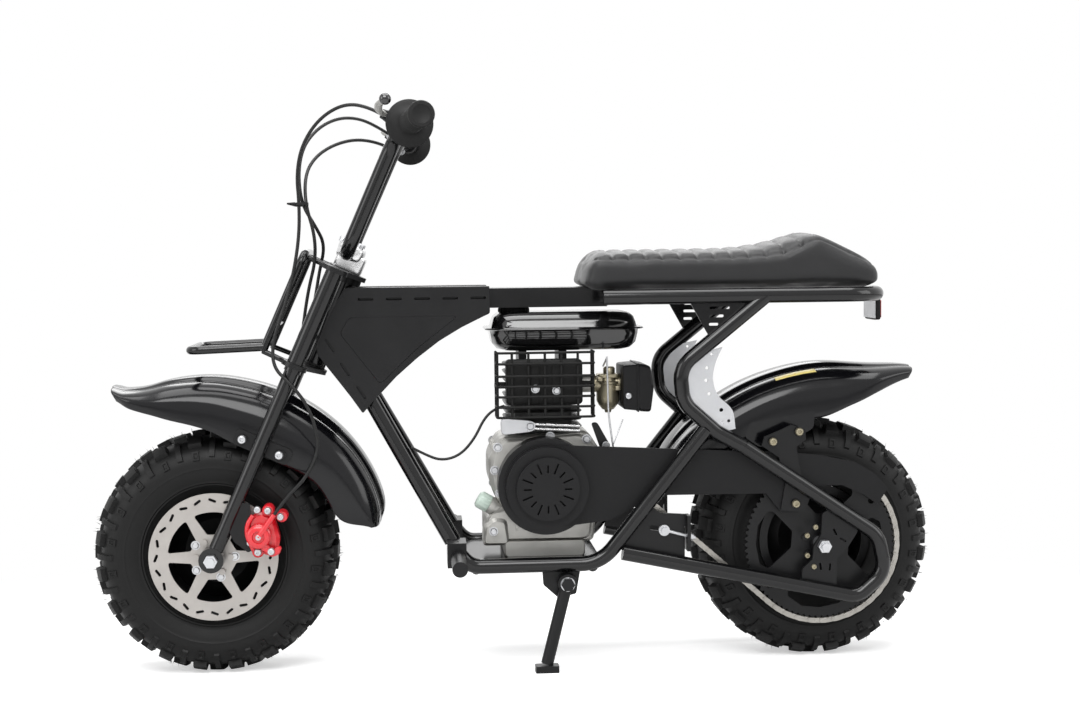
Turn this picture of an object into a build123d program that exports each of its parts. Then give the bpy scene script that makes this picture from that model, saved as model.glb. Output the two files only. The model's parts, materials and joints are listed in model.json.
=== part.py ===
from build123d import *
import math
import os

# Mini dirt bike, leaning on its side stand
# Millimetres and degrees. The bike is drawn upright in its own frame: +X forward with the rear axle at X = 0,
# +Y to its left, +Z up from the line of the two axles. The last step leans it on its stand.

os.makedirs("parts", exist_ok=True)

# Whole bike
WHEELBASE = 895.0
LEAN = 3.5
RUNNING_GAP = 0.06
SEAT_GAP = 0.3

# Tyres and rims, 6 inch rims with 145 mm wide balloon tyres
TYRE_RADIUS = 180.0
TYRE_HALF_WIDTH = 70.0
TREAD_DEPTH = 9.0
RIM_FLANGE_RADIUS = 84.0
RIM_FLANGE_Y = 50.0
RIM_BARREL_RADIUS = 76.0
RIM_WALL = 4.0
HUB_RADIUS = 24.0
FRONT_HUB_RIGHT = 76.0
REAR_HUB_RIGHT = 86.0
AXLE_RADIUS = 6.0
LUG_COUNT = 20
SHOULDER_LUG_COUNT = 20
LUG_TILT = 12.0
CROWN_FLAT = 10.0

# Front brake
DISC_RADIUS = 93.5
DISC_THICKNESS = 3.0
DISC_Y = 73.5
DISC_SPOKES = 6
DISC_WINDOW_INNER = 34.0
DISC_WINDOW_OUTER = 66.0
SPOKE_HALF_WIDTH_AT_HUB = 9.0
SPOKE_HALF_WIDTH_AT_BAND = 5.5
DISC_SLOTS = 24
DISC_SLOT_RING = 83.0
DISC_SLOT_TILT = 22.0
CALIPER_PISTON_X = -69.0
CALIPER_PISTON_Z = 34.0
CALIPER_PISTON_RADIUS = 16.0
CALIPER_GAP = 3.5

# Steering geometry
RAKE = 24.0
FORK_OFFSET = 20.0
AXLE_DROP = 375.0
FORK_LEG_Y = 95.0
UPPER_LEG_RADIUS = 12.5
LOWER_LEG_RADIUS = 11.0
LEG_LUG_RADIUS = 18.0
LEG_LUG_WIDTH = 24.0
PLATE_THICKNESS = 7.0
STEM_RADIUS = 12.0
HEAD_TUBE_RADIUS = 19.0
HEAD_TUBE_LENGTH = 128.0
HEAD_TUBE_W = 2.0
TOP_RACE = 10.0
BOTTOM_RACE = 5.0

# Handlebar, in fork coordinates
BAR_RADIUS = 11.0
BAR_U = 16.0
BAR_CLAMP_RISE = 25.0
BAR_CLAMP_LENGTH = 46.0
BAR_CLAMP_WIDTH = 62.0
BAR_HALF_BASE = 58.0
BAR_RISE = 188.0
BAR_BEND_Y = 74.0
GRIP_END_U = -12.5
GRIP_END_Y = 325.0
GRIP_RISE = 19.0
GRIP_LENGTH = 116.0
BARREL_LENGTH = 25.0
BARREL_RADIUS = 4.5
CABLE_RADIUS = 2.5
WIRE_RADIUS = 2.0
GRIP_RADIUS = 16.0
GRIP_FLANGE_RADIUS = 33.0

# Front rack
RACK_TUBE_RADIUS = 6.0
RACK_U = 71.0
RACK_ABOVE_PLATE = 8.0
RACK_ABOVE_BOTTOM_PLATE = 10.0
RACK_HALF_WIDTH = 70.0
RACK_TIP_X = 924.0

# Frame tubes
TUBE_RADIUS = 11.0
DOWN_TUBE_RADIUS = 12.5
FRAME_Y = 112.0
RAIL_Z = 371.0
RAIL_FRONT_X = 325.0
RAIL_REAR_X = -92.0
CROSS_TUBE_X = 311.0
CROSS_TUBE_RADIUS = 10.0
TOP_TUBE_HALF_WIDTH = 40.0
TOP_TUBE_LOW_Z = 356.0
TOP_TUBE_HIGH_Z = 385.0
PANEL_Y = 66.5
PANEL_THICKNESS = 3.0
CRADLE_Z = -17.0
CRADLE_REAR_X = 332.0
CRADLE_FRONT_X = 530.0
STAY_TOP_X = 176.0
STAY_TOP_Z = 177.0
DROPOUT_Y = 103.0
DROPOUT_THICKNESS = 6.0
LUG_PLATE_Y = 102.0
LUG_PLATE_THICKNESS = 4.0

# Foot pegs
PEG_X = 540.0
PEG_Z = -2.0
PEG_RADIUS = 11.0
PEG_LENGTH = 85.0
PEG_BLOCK_LENGTH = 27.5
PEG_BLOCK_HEIGHT = 36.0

# Side stand
STAND_X = 382.0
STAND_Z = -44.0
STAND_FOOT_X = 413.0
STAND_FOOT_Y = 120.0
STAND_LEG_RADIUS = 9.0
STAND_BOLT_RADIUS = 5.0
STAND_PLATE_Y = 101.0
STAND_HEAD_Y = 126.0

# Drive
SPROCKET_Y = 84.0
SPROCKET_THICKNESS = 4.0
SPROCKET_TEETH = 77
CHAIN_PITCH = 9.525
ROLLER_GAP = 3.2
HOLE_RING_RADIUS = 99.0
HUB_BOLT_RING_RADIUS = 25.0
HUB_NECK_RADIUS = 16.0
COUNTERSHAFT_X = 256.0
COUNTERSHAFT_Z = 92.0
COUNTERSHAFT_TEETH = 11
COVER_Y = 95.0
COVER_THICKNESS = 3.0
COUNTERSHAFT_RADIUS = 8.0
ARM_Y = 62.0
ARM_THICKNESS = 8.0

# Fenders
FENDER_WALL = 2.5
FRONT_FENDER_HALF_WIDTH = 80.5
REAR_FENDER_HALF_WIDTH = 80.0
FENDER_BRACKET_W = -198.0
FENDER_BRACKET_THICKNESS = 4.0
BOLT_HEAD_RADIUS = 6.5

# Engine
ENGINE_X = 409.0
CRANK_Z = 95.0
CASE_LEFT_Y = 60.0
CASE_RIGHT_Y = -55.0
CYLINDER_X = 408.0
CYLINDER_TOP_Z = 272.0
CYLINDER_HALF_WIDTH = 46.0
TANK_X = 375.0
TANK_Y = -6.0
TANK_SEAM_Z = 323.0
TANK_TOP_Z = 349.0
TANK_BOTTOM_Z = 291.0
INTAKE_Y = 6.0
INTAKE_Z = 238.0
AIR_CLEANER_FRONT_X = 289.0
MUFFLER_X = 410.0
MUFFLER_Z = 248.0
MUFFLER_INNER_Y = 61.0
MUFFLER_OUTER_Y = 95.0

RAKE_SIN = math.sin(math.radians(RAKE))
RAKE_COS = math.cos(math.radians(RAKE))
HEAD_X = WHEELBASE - FORK_OFFSET * RAKE_COS - AXLE_DROP * RAKE_SIN
HEAD_Z = -FORK_OFFSET * RAKE_SIN + AXLE_DROP * RAKE_COS
TOP_PLATE_W = HEAD_TUBE_W + HEAD_TUBE_LENGTH / 2 + TOP_RACE
BOTTOM_PLATE_W = HEAD_TUBE_W - HEAD_TUBE_LENGTH / 2 - BOTTOM_RACE - PLATE_THICKNESS
BAR_CLAMP_W = TOP_PLATE_W + PLATE_THICKNESS + BAR_CLAMP_RISE
BAR_BEND_W = BAR_CLAMP_W + BAR_RISE
GRIP_END_W = BAR_BEND_W + GRIP_RISE
RACK_TOP_W = TOP_PLATE_W + RACK_ABOVE_PLATE
RACK_FOOT_W = BOTTOM_PLATE_W + RACK_ABOVE_BOTTOM_PLATE
PEG_INNER_Y = FRAME_Y + 15
CARCASS_RADIUS = TYRE_RADIUS - TREAD_DEPTH
STAND_FOOT_Z = (STAND_FOOT_Y - CROWN_FLAT) * math.tan(math.radians(LEAN)) - TYRE_RADIUS
CHAIN_RADIUS = CHAIN_PITCH / (2 * math.sin(math.pi / SPROCKET_TEETH))
SMALL_CHAIN_RADIUS = CHAIN_PITCH / (2 * math.sin(math.pi / COUNTERSHAFT_TEETH))


# Helpers

def fork_point(u, y, w):
    """A point u ahead of the steering axis and w up along it."""
    return Vector(HEAD_X + u * RAKE_COS - w * RAKE_SIN, y, HEAD_Z + u * RAKE_SIN + w * RAKE_COS)


def fork_plane(w, u=0.0, y=0.0):
    """A plane square to the steering axis, its x axis forwards."""
    return Plane(origin=fork_point(u, y, w), x_dir=(RAKE_COS, 0, RAKE_SIN), z_dir=(-RAKE_SIN, 0, RAKE_COS))


def rod(start, end, radius):
    """A round bar between two points."""
    start = Vector(*start) if not isinstance(start, Vector) else start
    end = Vector(*end) if not isinstance(end, Vector) else end
    along = end - start
    return extrude(Plane(origin=start, z_dir=along) * Circle(radius), amount=along.length)


def cross_rod(x, z, y_low, y_high, radius):
    """A round bar along Y."""
    return rod((x, y_low, z), (x, y_high, z), radius)


def bent_tube(points, bends, radius):
    """A round tube along straight runs joined by arcs."""
    path = FilletPolyline(*points, radius=bends)
    return sweep(Plane(origin=path @ 0, z_dir=path % 0) * Circle(radius), path=path)


def side_plate(outline, y_low, y_high):
    """A flat piece in the side view: the sketch's x and y are the bike's X and Z."""
    plane = Plane(origin=(0, y_high, 0), x_dir=(1, 0, 0), z_dir=(0, -1, 0))
    return extrude(plane * outline, amount=y_high - y_low, dir=(0, -1, 0))


def outline(points, rounding=0.0):
    """A closed outline, with its corners rounded where a radius is given."""
    face = Polygon(*points, align=None)
    return fillet(face.vertices(), rounding) if rounding else face


def both_sides(part):
    """The part and its mirror image on the other side of the bike."""
    return [part, mirror(part, about=Plane.XZ)]


def joined(parts):
    """One compound of solids that don't touch."""
    solids = []
    for part in parts:
        solids.extend(part.solids())
    return Compound(solids) if len(solids) > 1 else solids[0]


# Wheels

# Columns: share of the height from the rim's flange to the crown, share of the half width
TYRE_SECTION = [(0.23, 0.87), (0.47, 0.97), (0.67, 0.98), (0.84, 0.886), (0.943, 0.643), (1.0, 0.286)]


def tyre_profile():
    """The carcass's half section as points of radius and y, from the left bead over the crown to the right bead."""
    bead = RIM_FLANGE_RADIUS + SEAT_GAP
    left = [
        (RIM_BARREL_RADIUS + 0.2, RIM_FLANGE_Y - 5.5),
        (bead, RIM_FLANGE_Y - 2.5),
        (bead, RIM_FLANGE_Y + 1.3),
    ]
    for height, width in TYRE_SECTION:
        left.append((RIM_FLANGE_RADIUS + height * (CARCASS_RADIUS - RIM_FLANGE_RADIUS), width * TYRE_HALF_WIDTH))
    return left + [(radius, -y) for radius, y in reversed(left)]


def spin(profile):
    """A solid turned about Z from points of radius and height."""
    return revolve(Plane.XZ * Polygon(*profile, align=None), Axis.Z)


def tyre():
    """Carcass with a centre row and two shoulder rows of lugs, turned about Z with its left side up."""
    carcass = spin(tyre_profile())
    crown = [
        (CARCASS_RADIUS - 3, -30.0), (CARCASS_RADIUS - 3, 30.0), (TYRE_RADIUS - 1.5, 30.0),
        (TYRE_RADIUS, CROWN_FLAT), (TYRE_RADIUS, -CROWN_FLAT), (TYRE_RADIUS - 1.5, -30.0)]
    shoulder = [
        (CARCASS_RADIUS - 18, TYRE_HALF_WIDTH - 7), (CARCASS_RADIUS - 6, TYRE_HALF_WIDTH - 32),
        (TYRE_RADIUS - 2.5, TYRE_HALF_WIDTH - 32), (TYRE_RADIUS - 8, TYRE_HALF_WIDTH - 12),
        (TYRE_RADIUS - 24, TYRE_HALF_WIDTH)]
    lugs = []
    centre_ring = spin(crown)
    shoulder_ring = spin(shoulder)
    for i in range(LUG_COUNT):
        angle = 360.0 / LUG_COUNT * i
        side = 1 if i % 2 else -1
        block = Pos(TYRE_RADIUS, 0, side * 13) * Rot(X=side * LUG_TILT) * Box(40, 26, 24)
        lugs.append(Rot(Z=angle) * (centre_ring & block))
    for side in (1, -1):
        for i in range(SHOULDER_LUG_COUNT):
            angle = 360.0 / SHOULDER_LUG_COUNT * (i + 0.5)
            ring = shoulder_ring if side > 0 else mirror(shoulder_ring, about=Plane.XY)
            block = Pos(TYRE_RADIUS - 8, 0, side * (TYRE_HALF_WIDTH - 16)) * Box(60, 26 if i % 2 else 20, 34)
            lugs.append(Rot(Z=angle) * (ring & block))
    return carcass + lugs


def rim(hub_left, hub_right):
    """Barrel with rolled flanges, a pressed web and the hub, turned about Z with its left side up."""
    inner = RIM_BARREL_RADIUS - RIM_WALL
    barrel = spin([
        (inner, -RIM_FLANGE_Y - 1), (RIM_FLANGE_RADIUS, -RIM_FLANGE_Y - 1), (RIM_FLANGE_RADIUS, -RIM_FLANGE_Y + 2),
        (RIM_BARREL_RADIUS, -RIM_FLANGE_Y + 5), (RIM_BARREL_RADIUS, RIM_FLANGE_Y - 5),
        (RIM_FLANGE_RADIUS, RIM_FLANGE_Y - 2), (RIM_FLANGE_RADIUS, RIM_FLANGE_Y + 1), (inner, RIM_FLANGE_Y + 1)])
    web = spin([
        (HUB_RADIUS - 1, 12.0), (48.0, 18.0), (inner + 1, 6.0), (inner + 1, 2.0), (48.0, 14.0), (HUB_RADIUS - 1, 8.0)])
    hub = spin([
        (AXLE_RADIUS + RUNNING_GAP, -hub_right), (HUB_NECK_RADIUS, -hub_right), (HUB_NECK_RADIUS, -28.0),
        (HUB_RADIUS, -20.0), (HUB_RADIUS, hub_left - 12), (HUB_RADIUS + 4, hub_left - 8), (HUB_RADIUS + 4, hub_left),
        (AXLE_RADIUS + RUNNING_GAP, hub_left)])
    return barrel + web + hub


def wheel_at(part, x):
    """Moves a part from its turning axis to the axle at X."""
    return Location((x, 0, 0), (-90, 0, 0)) * part


def bolt_head(x, z, y_low, height, radius=BOLT_HEAD_RADIUS):
    """A hexagon head, standing outwards from y_low."""
    return Pos(x, y_low, z) * Rot(X=-90) * extrude(RegularPolygon(radius, 6), amount=height)


def axle_spacers(x, spans):
    """Loose tubes on an axle, one for each pair of low and high Y."""
    tubes = []
    for low, high in spans:
        tube = cross_rod(x, 0, low + SEAT_GAP, high - SEAT_GAP, AXLE_RADIUS + 4)
        tubes.append(tube - cross_rod(x, 0, low - 5, high + 5, AXLE_RADIUS + RUNNING_GAP))
    return joined(tubes)


def brake_disc():
    """Disc with tapered spokes between its hub ring and a band of slots that lean both ways, turned about Z."""
    inner_half = 180 / DISC_SPOKES - math.degrees(math.asin(SPOKE_HALF_WIDTH_AT_HUB / DISC_WINDOW_INNER))
    outer_half = 180 / DISC_SPOKES - math.degrees(math.asin(SPOKE_HALF_WIDTH_AT_BAND / DISC_WINDOW_OUTER))
    reach = DISC_WINDOW_OUTER / math.cos(math.radians(outer_half))
    low = math.radians(inner_half)
    high = math.radians(outer_half)
    wedge = Polygon(
        (DISC_WINDOW_INNER * math.cos(low), -DISC_WINDOW_INNER * math.sin(low)),
        (reach * math.cos(high), -reach * math.sin(high)), (reach * math.cos(high), reach * math.sin(high)),
        (DISC_WINDOW_INNER * math.cos(low), DISC_WINDOW_INNER * math.sin(low)), align=None)
    window = fillet((wedge & Circle(DISC_WINDOW_OUTER)).vertices(), 3)
    face = Circle(DISC_RADIUS) - Circle(HUB_NECK_RADIUS)
    for i in range(DISC_SPOKES):
        face -= Rot(Z=360 / DISC_SPOKES * (i + 0.5)) * window
    for i in range(DISC_SLOTS):
        lean = DISC_SLOT_TILT if i % 2 else -DISC_SLOT_TILT
        face -= Rot(Z=360 / DISC_SLOTS * i) * Pos(DISC_SLOT_RING, 0) * Rot(Z=90 + lean) * SlotOverall(12, 4)
    disc = Pos(0, 0, DISC_Y) * extrude(face, amount=DISC_THICKNESS)
    for i in range(DISC_SPOKES):
        head = Pos(HUB_BOLT_RING_RADIUS, 0, DISC_Y + DISC_THICKNESS) * extrude(RegularPolygon(5, 6), amount=4)
        disc += Rot(Z=360 / DISC_SPOKES * i) * head
    return disc


def toothed_outline(teeth, tip, depth):
    """The filled outline of a sprocket."""
    points = []
    for i in range(teeth):
        for part, radius in ((-0.42, tip - depth), (-0.14, tip), (0.14, tip), (0.42, tip - depth)):
            angle = 2 * math.pi * (i + part) / teeth
            points.append((radius * math.cos(angle), radius * math.sin(angle)))
    return Polygon(*points, align=None)


def sprocket():
    """Toothed ring with four kidney windows, four small holes and six hub bolts."""
    face = toothed_outline(SPROCKET_TEETH, CHAIN_RADIUS - ROLLER_GAP, 4.0) - Circle(HUB_NECK_RADIUS)
    kidney = Polygon(
        (44, -6), (78, -37), (91, -30), (97, 0), (94, 28), (78, 50), (70, 48), (42, 19), align=None)
    kidney = fillet(kidney.vertices(), 6)
    plate = extrude(face, amount=SPROCKET_THICKNESS)
    for i in range(4):
        window = Pos(0, 0, -1) * extrude(mirror(kidney, about=Plane.XZ), amount=SPROCKET_THICKNESS + 2)
        hole = Pos(HOLE_RING_RADIUS, 0, -1) * extrude(Circle(4.5), amount=SPROCKET_THICKNESS + 2)
        plate -= Rot(Z=90 * i) * window
        plate -= Rot(Z=90 * i + 38.5) * hole
    for i in range(6):
        head = Pos(HUB_BOLT_RING_RADIUS, 0, SPROCKET_THICKNESS) * extrude(RegularPolygon(5, 6), amount=4)
        plate += Rot(Z=60 * i + 38) * head
    return Pos(0, 0, SPROCKET_Y - SPROCKET_THICKNESS / 2) * plate


# Fork

def fork_leg():
    """Straight left leg, thicker above the lower plate, with a lug round the axle."""
    joint_w = BOTTOM_PLATE_W - 6
    half = LEG_LUG_WIDTH / 2
    lower = rod(fork_point(FORK_OFFSET, FORK_LEG_Y, -AXLE_DROP), fork_point(FORK_OFFSET, FORK_LEG_Y, joint_w),
                LOWER_LEG_RADIUS)
    upper = rod(fork_point(FORK_OFFSET, FORK_LEG_Y, joint_w), fork_point(FORK_OFFSET, FORK_LEG_Y, TOP_PLATE_W),
                UPPER_LEG_RADIUS)
    lug = cross_rod(WHEELBASE, 0, FORK_LEG_Y - half, FORK_LEG_Y + half, LEG_LUG_RADIUS)
    leg = lower + upper + lug
    return leg - cross_rod(WHEELBASE, 0, FORK_LEG_Y - half - 1, FORK_LEG_Y + half + 1, AXLE_RADIUS)


def fork_legs():
    return joined(both_sides(fork_leg()))


def fork_plate_outline():
    """Half round at the stem, tapering to a round end at each leg."""
    end = 19.0
    bridge = Polygon(
        (24, 0), (FORK_OFFSET + end, FORK_LEG_Y), (FORK_OFFSET - 14, FORK_LEG_Y), (2, FORK_LEG_Y - 30),
        (-22, 10), (-22, -10), (2, 30 - FORK_LEG_Y), (FORK_OFFSET - 14, -FORK_LEG_Y),
        (FORK_OFFSET + end, -FORK_LEG_Y), align=None)
    face = bridge + Circle(24)
    for side in (1, -1):
        face += Pos(FORK_OFFSET, side * FORK_LEG_Y) * Circle(end)
    return face


def fork_plates():
    """Upper and lower plates with the steering stem between them."""
    face = fork_plate_outline()
    stem = Pos(0, 0, BOTTOM_PLATE_W) * extrude(Circle(STEM_RADIUS), amount=TOP_PLATE_W + 12 - BOTTOM_PLATE_W)
    leg_holes = Pos(FORK_OFFSET, FORK_LEG_Y, 0) * Cylinder(UPPER_LEG_RADIUS, 400)
    leg_holes += Pos(FORK_OFFSET, -FORK_LEG_Y, 0) * Cylinder(UPPER_LEG_RADIUS, 400)
    top = Pos(0, 0, TOP_PLATE_W) * extrude(face, amount=PLATE_THICKNESS)
    bottom = Pos(0, 0, BOTTOM_PLATE_W) * extrude(face, amount=PLATE_THICKNESS)
    bottom = bottom - leg_holes
    washer = Pos(0, 0, BOTTOM_PLATE_W + PLATE_THICKNESS) * extrude(
        Circle(HEAD_TUBE_RADIUS), amount=BOTTOM_RACE - SEAT_GAP)
    nut = Pos(0, 0, TOP_PLATE_W - TOP_RACE + SEAT_GAP) * extrude(
        Circle(HEAD_TUBE_RADIUS), amount=TOP_RACE - SEAT_GAP)
    return fork_plane(0) * (stem + top + bottom + washer + nut)


def bar_path_points():
    """The handlebar's points from the right end to the left end."""
    left = [
        fork_point(BAR_U, BAR_HALF_BASE, BAR_CLAMP_W),
        fork_point(BAR_U, BAR_BEND_Y, BAR_BEND_W),
        fork_point(GRIP_END_U, GRIP_END_Y, GRIP_END_W)]
    return [Vector(p.X, -p.Y, p.Z) for p in reversed(left)] + left


def handlebar():
    return bent_tube(bar_path_points(), [40, 30, 30, 40], BAR_RADIUS)


def bar_clamp():
    """Cast clamp round the handlebar's middle, on the stem."""
    base = TOP_PLATE_W + PLATE_THICKNESS
    body = Pos(BAR_U - 8, 0, (base + BAR_CLAMP_W + 18) / 2) * Box(
        BAR_CLAMP_LENGTH, BAR_CLAMP_WIDTH, BAR_CLAMP_W + 18 - base)
    body = fillet(body.edges().filter_by(Axis.Z), 8)
    block = fork_plane(0) * body
    for y in (-22.0, 22.0):
        for u in (-6.0, 26.0):
            block += fork_plane(BAR_CLAMP_W + 18, u - 8 + 6, y) * Cylinder(5, 10)
    return block - handlebar() - fork_plates()


def grip_axis():
    """Unit vector along the left grip, outwards, and the grip's outer end."""
    end = fork_point(GRIP_END_U, GRIP_END_Y, GRIP_END_W)
    bend = fork_point(BAR_U, BAR_BEND_Y, BAR_BEND_W)
    return (end - bend).normalized(), end


def grips():
    along, end = grip_axis()
    start = end - along * GRIP_LENGTH
    body = rod(start, end + along * 4, GRIP_RADIUS)
    body += rod(start - along * 2, start + along * 4, GRIP_FLANGE_RADIUS)
    body -= rod(start - along * 10, end, BAR_RADIUS)
    return joined(both_sides(body))


def levers():
    """Lever perches clamped on the bar and the brake levers in front of the grips."""
    along, end = grip_axis()
    forward = Vector(RAKE_COS, 0, RAKE_SIN)
    clamp_start = end - along * (GRIP_LENGTH + 34)
    clamp_end = end - along * (GRIP_LENGTH + 6)
    perch = rod(clamp_start, clamp_end, 15)
    middle = clamp_start + (clamp_end - clamp_start) * 0.5
    pivot = middle + forward * 32
    perch += rod(middle, pivot, 8)
    tip = end + forward * 50 - along * 4
    knee = clamp_end + forward * 46 + along * 10
    lever = rod(pivot, knee, 5) + rod(knee, tip, 5) + Pos(*knee) * Sphere(5) + Pos(*tip) * Sphere(8)
    inwards = Vector(0, -1, 0)
    perch += rod(pivot, pivot + inwards * BARREL_LENGTH, BARREL_RADIUS)
    below = middle + fork_point(6, 0, -16) - fork_point(0, 0, 0)
    perch += rod(below, below + inwards * BARREL_LENGTH, BARREL_RADIUS)
    perch -= rod(clamp_start - along * 20, clamp_end + along * 20, BAR_RADIUS)
    return joined(both_sides(perch + lever))


# Columns: angle about the axle, crown radius, skirt radius, share of the fender's half width
FRONT_FENDER_TABLE = [
    (171.0, 246.0, 232.0, 0.87),
    (164.0, 258.0, 190.0, 0.98),
    (144.0, 259.0, 182.0, 1.0),
    (124.0, 258.0, 166.0, 1.0),
    (104.0, 258.0, 167.0, 1.0),
    (90.0, 261.0, 184.0, 1.0),
    (76.0, 264.0, 205.0, 0.99),
    (68.0, 266.0, 225.0, 0.94),
    (62.0, 276.0, 246.0, 0.84),
    (59.0, 289.0, 266.0, 0.67),
]
REAR_FENDER_TABLE = [
    (28.0, 262.0, 232.0, 0.9),
    (36.0, 262.0, 206.0, 1.0),
    (56.0, 258.0, 190.0, 1.0),
    (76.0, 260.0, 188.0, 1.0),
    (92.0, 267.0, 188.0, 1.0),
    (104.0, 273.0, 212.0, 1.0),
    (112.0, 283.0, 240.0, 0.92),
    (121.0, 303.0, 282.0, 0.62),
]
# Columns: share of the half width, share of the depth from crown to skirt
FENDER_ARCH = [(0.0, 0.0), (0.30, 0.02), (0.42, 0.10), (0.66, 0.14), (0.88, 0.30), (0.98, 0.52), (1.0, 1.0)]


def fender(table, wheel_x, full_width):
    """A pressed mudguard: one thin arch section for each row of the table, joined by flat strips."""
    sections = []
    for angle, crown, skirt, share in table:
        half_width = share * full_width
        direction = Vector(math.cos(math.radians(angle)), 0, math.sin(math.radians(angle)))
        centre = Vector(wheel_x, 0, 0)
        depth = crown - skirt
        outer = []
        inner = []
        for across, down in FENDER_ARCH:
            outer.append((across * half_width, crown - down * depth))
            thin = FENDER_WALL * (1 - across)
            inner.append((across * (half_width - FENDER_WALL), max(crown - down * depth - thin, skirt)))
        right_outer = [(-y, r) for y, r in reversed(outer[1:])]
        right_inner = [(-y, r) for y, r in inner[1:]]
        loop = right_outer + outer + list(reversed(inner)) + right_inner
        points = [centre + direction * r + Vector(0, y, 0) for y, r in loop]
        sections.append(Face(Wire.make_polygon(points, close=True)))
    return loft(sections, ruled=True)


def rear_fender():
    """The rear mudguard with an ear on each side for the two bolts of its mounting plate."""
    ear = side_plate(outline([
        (6, 198), (8, 172), (22, 164), (44, 164), (60, 145), (90, 145), (112, 160), (104, 182)]),
        REAR_FENDER_HALF_WIDTH - FENDER_WALL, REAR_FENDER_HALF_WIDTH)
    guard = fender(REAR_FENDER_TABLE, 0.0, REAR_FENDER_HALF_WIDTH)
    for part in both_sides(ear):
        guard += part
    return guard


def fender_plate():
    """Left plate on the upper stay with two spacers and bolts to the rear fender's ear."""
    low = LUG_PLATE_Y
    high = LUG_PLATE_Y + LUG_PLATE_THICKNESS
    plate = side_plate(outline([
        (88, 163), (61, 174), (48, 180), (27, 173), (26, 158), (40, 147), (36, 120), (28, 88), (62, 110),
        (66, 132), (92, 150)]), low, high)
    for x, z in ((37, 170), (76, 156)):
        plate += cross_rod(x, z, REAR_FENDER_HALF_WIDTH + SEAT_GAP, low + 1, 5)
        plate += bolt_head(x, z, high, 4)
    return plate - upper_stay()


def cover_plate():
    """Tab under the left upper stay that the chain cover's rear is bolted to."""
    low = COVER_Y + COVER_THICKNESS + SEAT_GAP
    plate = side_plate(outline([(54, 104), (16, 78), (27, 50), (63, 53)], 3), low, low + LUG_PLATE_THICKNESS)
    plate += bolt_head(41, 63, low + LUG_PLATE_THICKNESS, 4)
    return plate - upper_stay()


def fender_bracket():
    """Flat plate inside each fork leg that the front fender's side is bolted to."""
    low = FRONT_FENDER_HALF_WIDTH + SEAT_GAP
    high = low + FENDER_BRACKET_THICKNESS
    plate = fork_plane(FENDER_BRACKET_W, 17, (low + high) / 2) * Box(88, high - low, 24)
    plate = fillet(plate.edges().filter_by(Axis.Y), 8)
    for u in (-13, 46):
        centre = fork_point(u, high, FENDER_BRACKET_W)
        plate += bolt_head(centre.X, centre.Z, high, 4)
    return joined(both_sides(plate - fork_leg()))


def front_rack():
    """Small tubular rack ahead of the head: an upright hoop and a level hoop, strapped to the fork plates."""
    r = RACK_TUBE_RADIUS
    half = RACK_HALF_WIDTH
    foot_w = RACK_FOOT_W
    upright = bent_tube([
        fork_point(RACK_U, half, foot_w), fork_point(RACK_U, half, RACK_TOP_W),
        fork_point(RACK_U, -half, RACK_TOP_W),
        fork_point(RACK_U, -half, foot_w)], [18, 18], r)
    corner = fork_point(RACK_U, half, foot_w)
    level = bent_tube([
        (corner.X, half, corner.Z), (RACK_TIP_X, half, corner.Z - 4), (RACK_TIP_X, -half, corner.Z - 4),
        (corner.X, -half, corner.Z)], [18, 18], r)
    rack = upright + level
    rack += rod(fork_point(RACK_U, 4 - half, foot_w + 34), fork_point(RACK_U, half - 4, foot_w + 34), 4)
    top_w = TOP_PLATE_W + PLATE_THICKNESS / 2
    bottom_w = BOTTOM_PLATE_W + PLATE_THICKNESS / 2
    for side in (1, -1):
        rack += rod(fork_point(RACK_U, side * 40, top_w), fork_point(FORK_OFFSET + 12, side * 40, top_w), 4)
        rack += rod(fork_point(RACK_U, side * 40, RACK_TOP_W), fork_point(RACK_U, side * 40, top_w - 1), 4)
        rack += rod(fork_point(RACK_U, side * half, bottom_w), fork_point(FORK_OFFSET + 12, side * 84, bottom_w), 4)
        rack += rod(fork_point(RACK_U, side * half, bottom_w), fork_point(RACK_U, side * half, foot_w + 2), r)
    return rack - fork_plates() - fork_legs()


def front_axle():
    """Axle bolt with its head and nut outside the fork legs."""
    reach = FORK_LEG_Y + LEG_LUG_WIDTH / 2
    bolt = cross_rod(WHEELBASE, 0, -reach - 10, reach + 14, AXLE_RADIUS)
    for y, height in ((reach, 10), (-reach - 10, 10)):
        bolt += Pos(WHEELBASE, y, 0) * Rot(X=-90) * extrude(RegularPolygon(10, 6), amount=height)
    return bolt


def at_front_axle(points, rounding):
    """An outline in the side view, given from the front axle."""
    return Pos(WHEELBASE, 0) * outline(points, rounding)


def brake_caliper():
    """Mechanical caliper over the disc's rear edge, on a bracket from the left leg."""
    outer_face = DISC_Y + DISC_THICKNESS
    pad_high = DISC_Y - 3
    pad_low = DISC_Y - 8
    body = side_plate(at_front_axle([
        (-95, 0), (-83, -4), (-61, 10), (-45, 34), (-47, 66), (-63, 70), (-89, 56), (-99, 26)], 5),
        outer_face + CALIPER_GAP, outer_face + 30)
    body += cross_rod(WHEELBASE + CALIPER_PISTON_X, CALIPER_PISTON_Z, outer_face + 30, outer_face + 42,
                      CALIPER_PISTON_RADIUS)
    inner = side_plate(at_front_axle([(-89, 10), (-79, 4), (-65, 16), (-63, 52), (-79, 46), (-91, 26)], 4),
                       pad_low, pad_high)
    over_rim = (Circle(DISC_RADIUS + 10) - Circle(DISC_RADIUS + CALIPER_GAP)) & Polygon(
        (0, 0), (-200, 110), (-200, 22), align=None)
    bridge = side_plate(Pos(WHEELBASE, 0) * over_rim, pad_low, outer_face + 20)
    ear = side_plate(at_front_axle([(-103, 16), (-83, 10), (-79, 42), (-95, 48)], 0), pad_low, pad_high)
    lever = rod((WHEELBASE + CALIPER_PISTON_X, outer_face + 40, CALIPER_PISTON_Z), caliper_lever_end(), 5)
    return body + inner + bridge + ear + lever - caliper_bracket()


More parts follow.
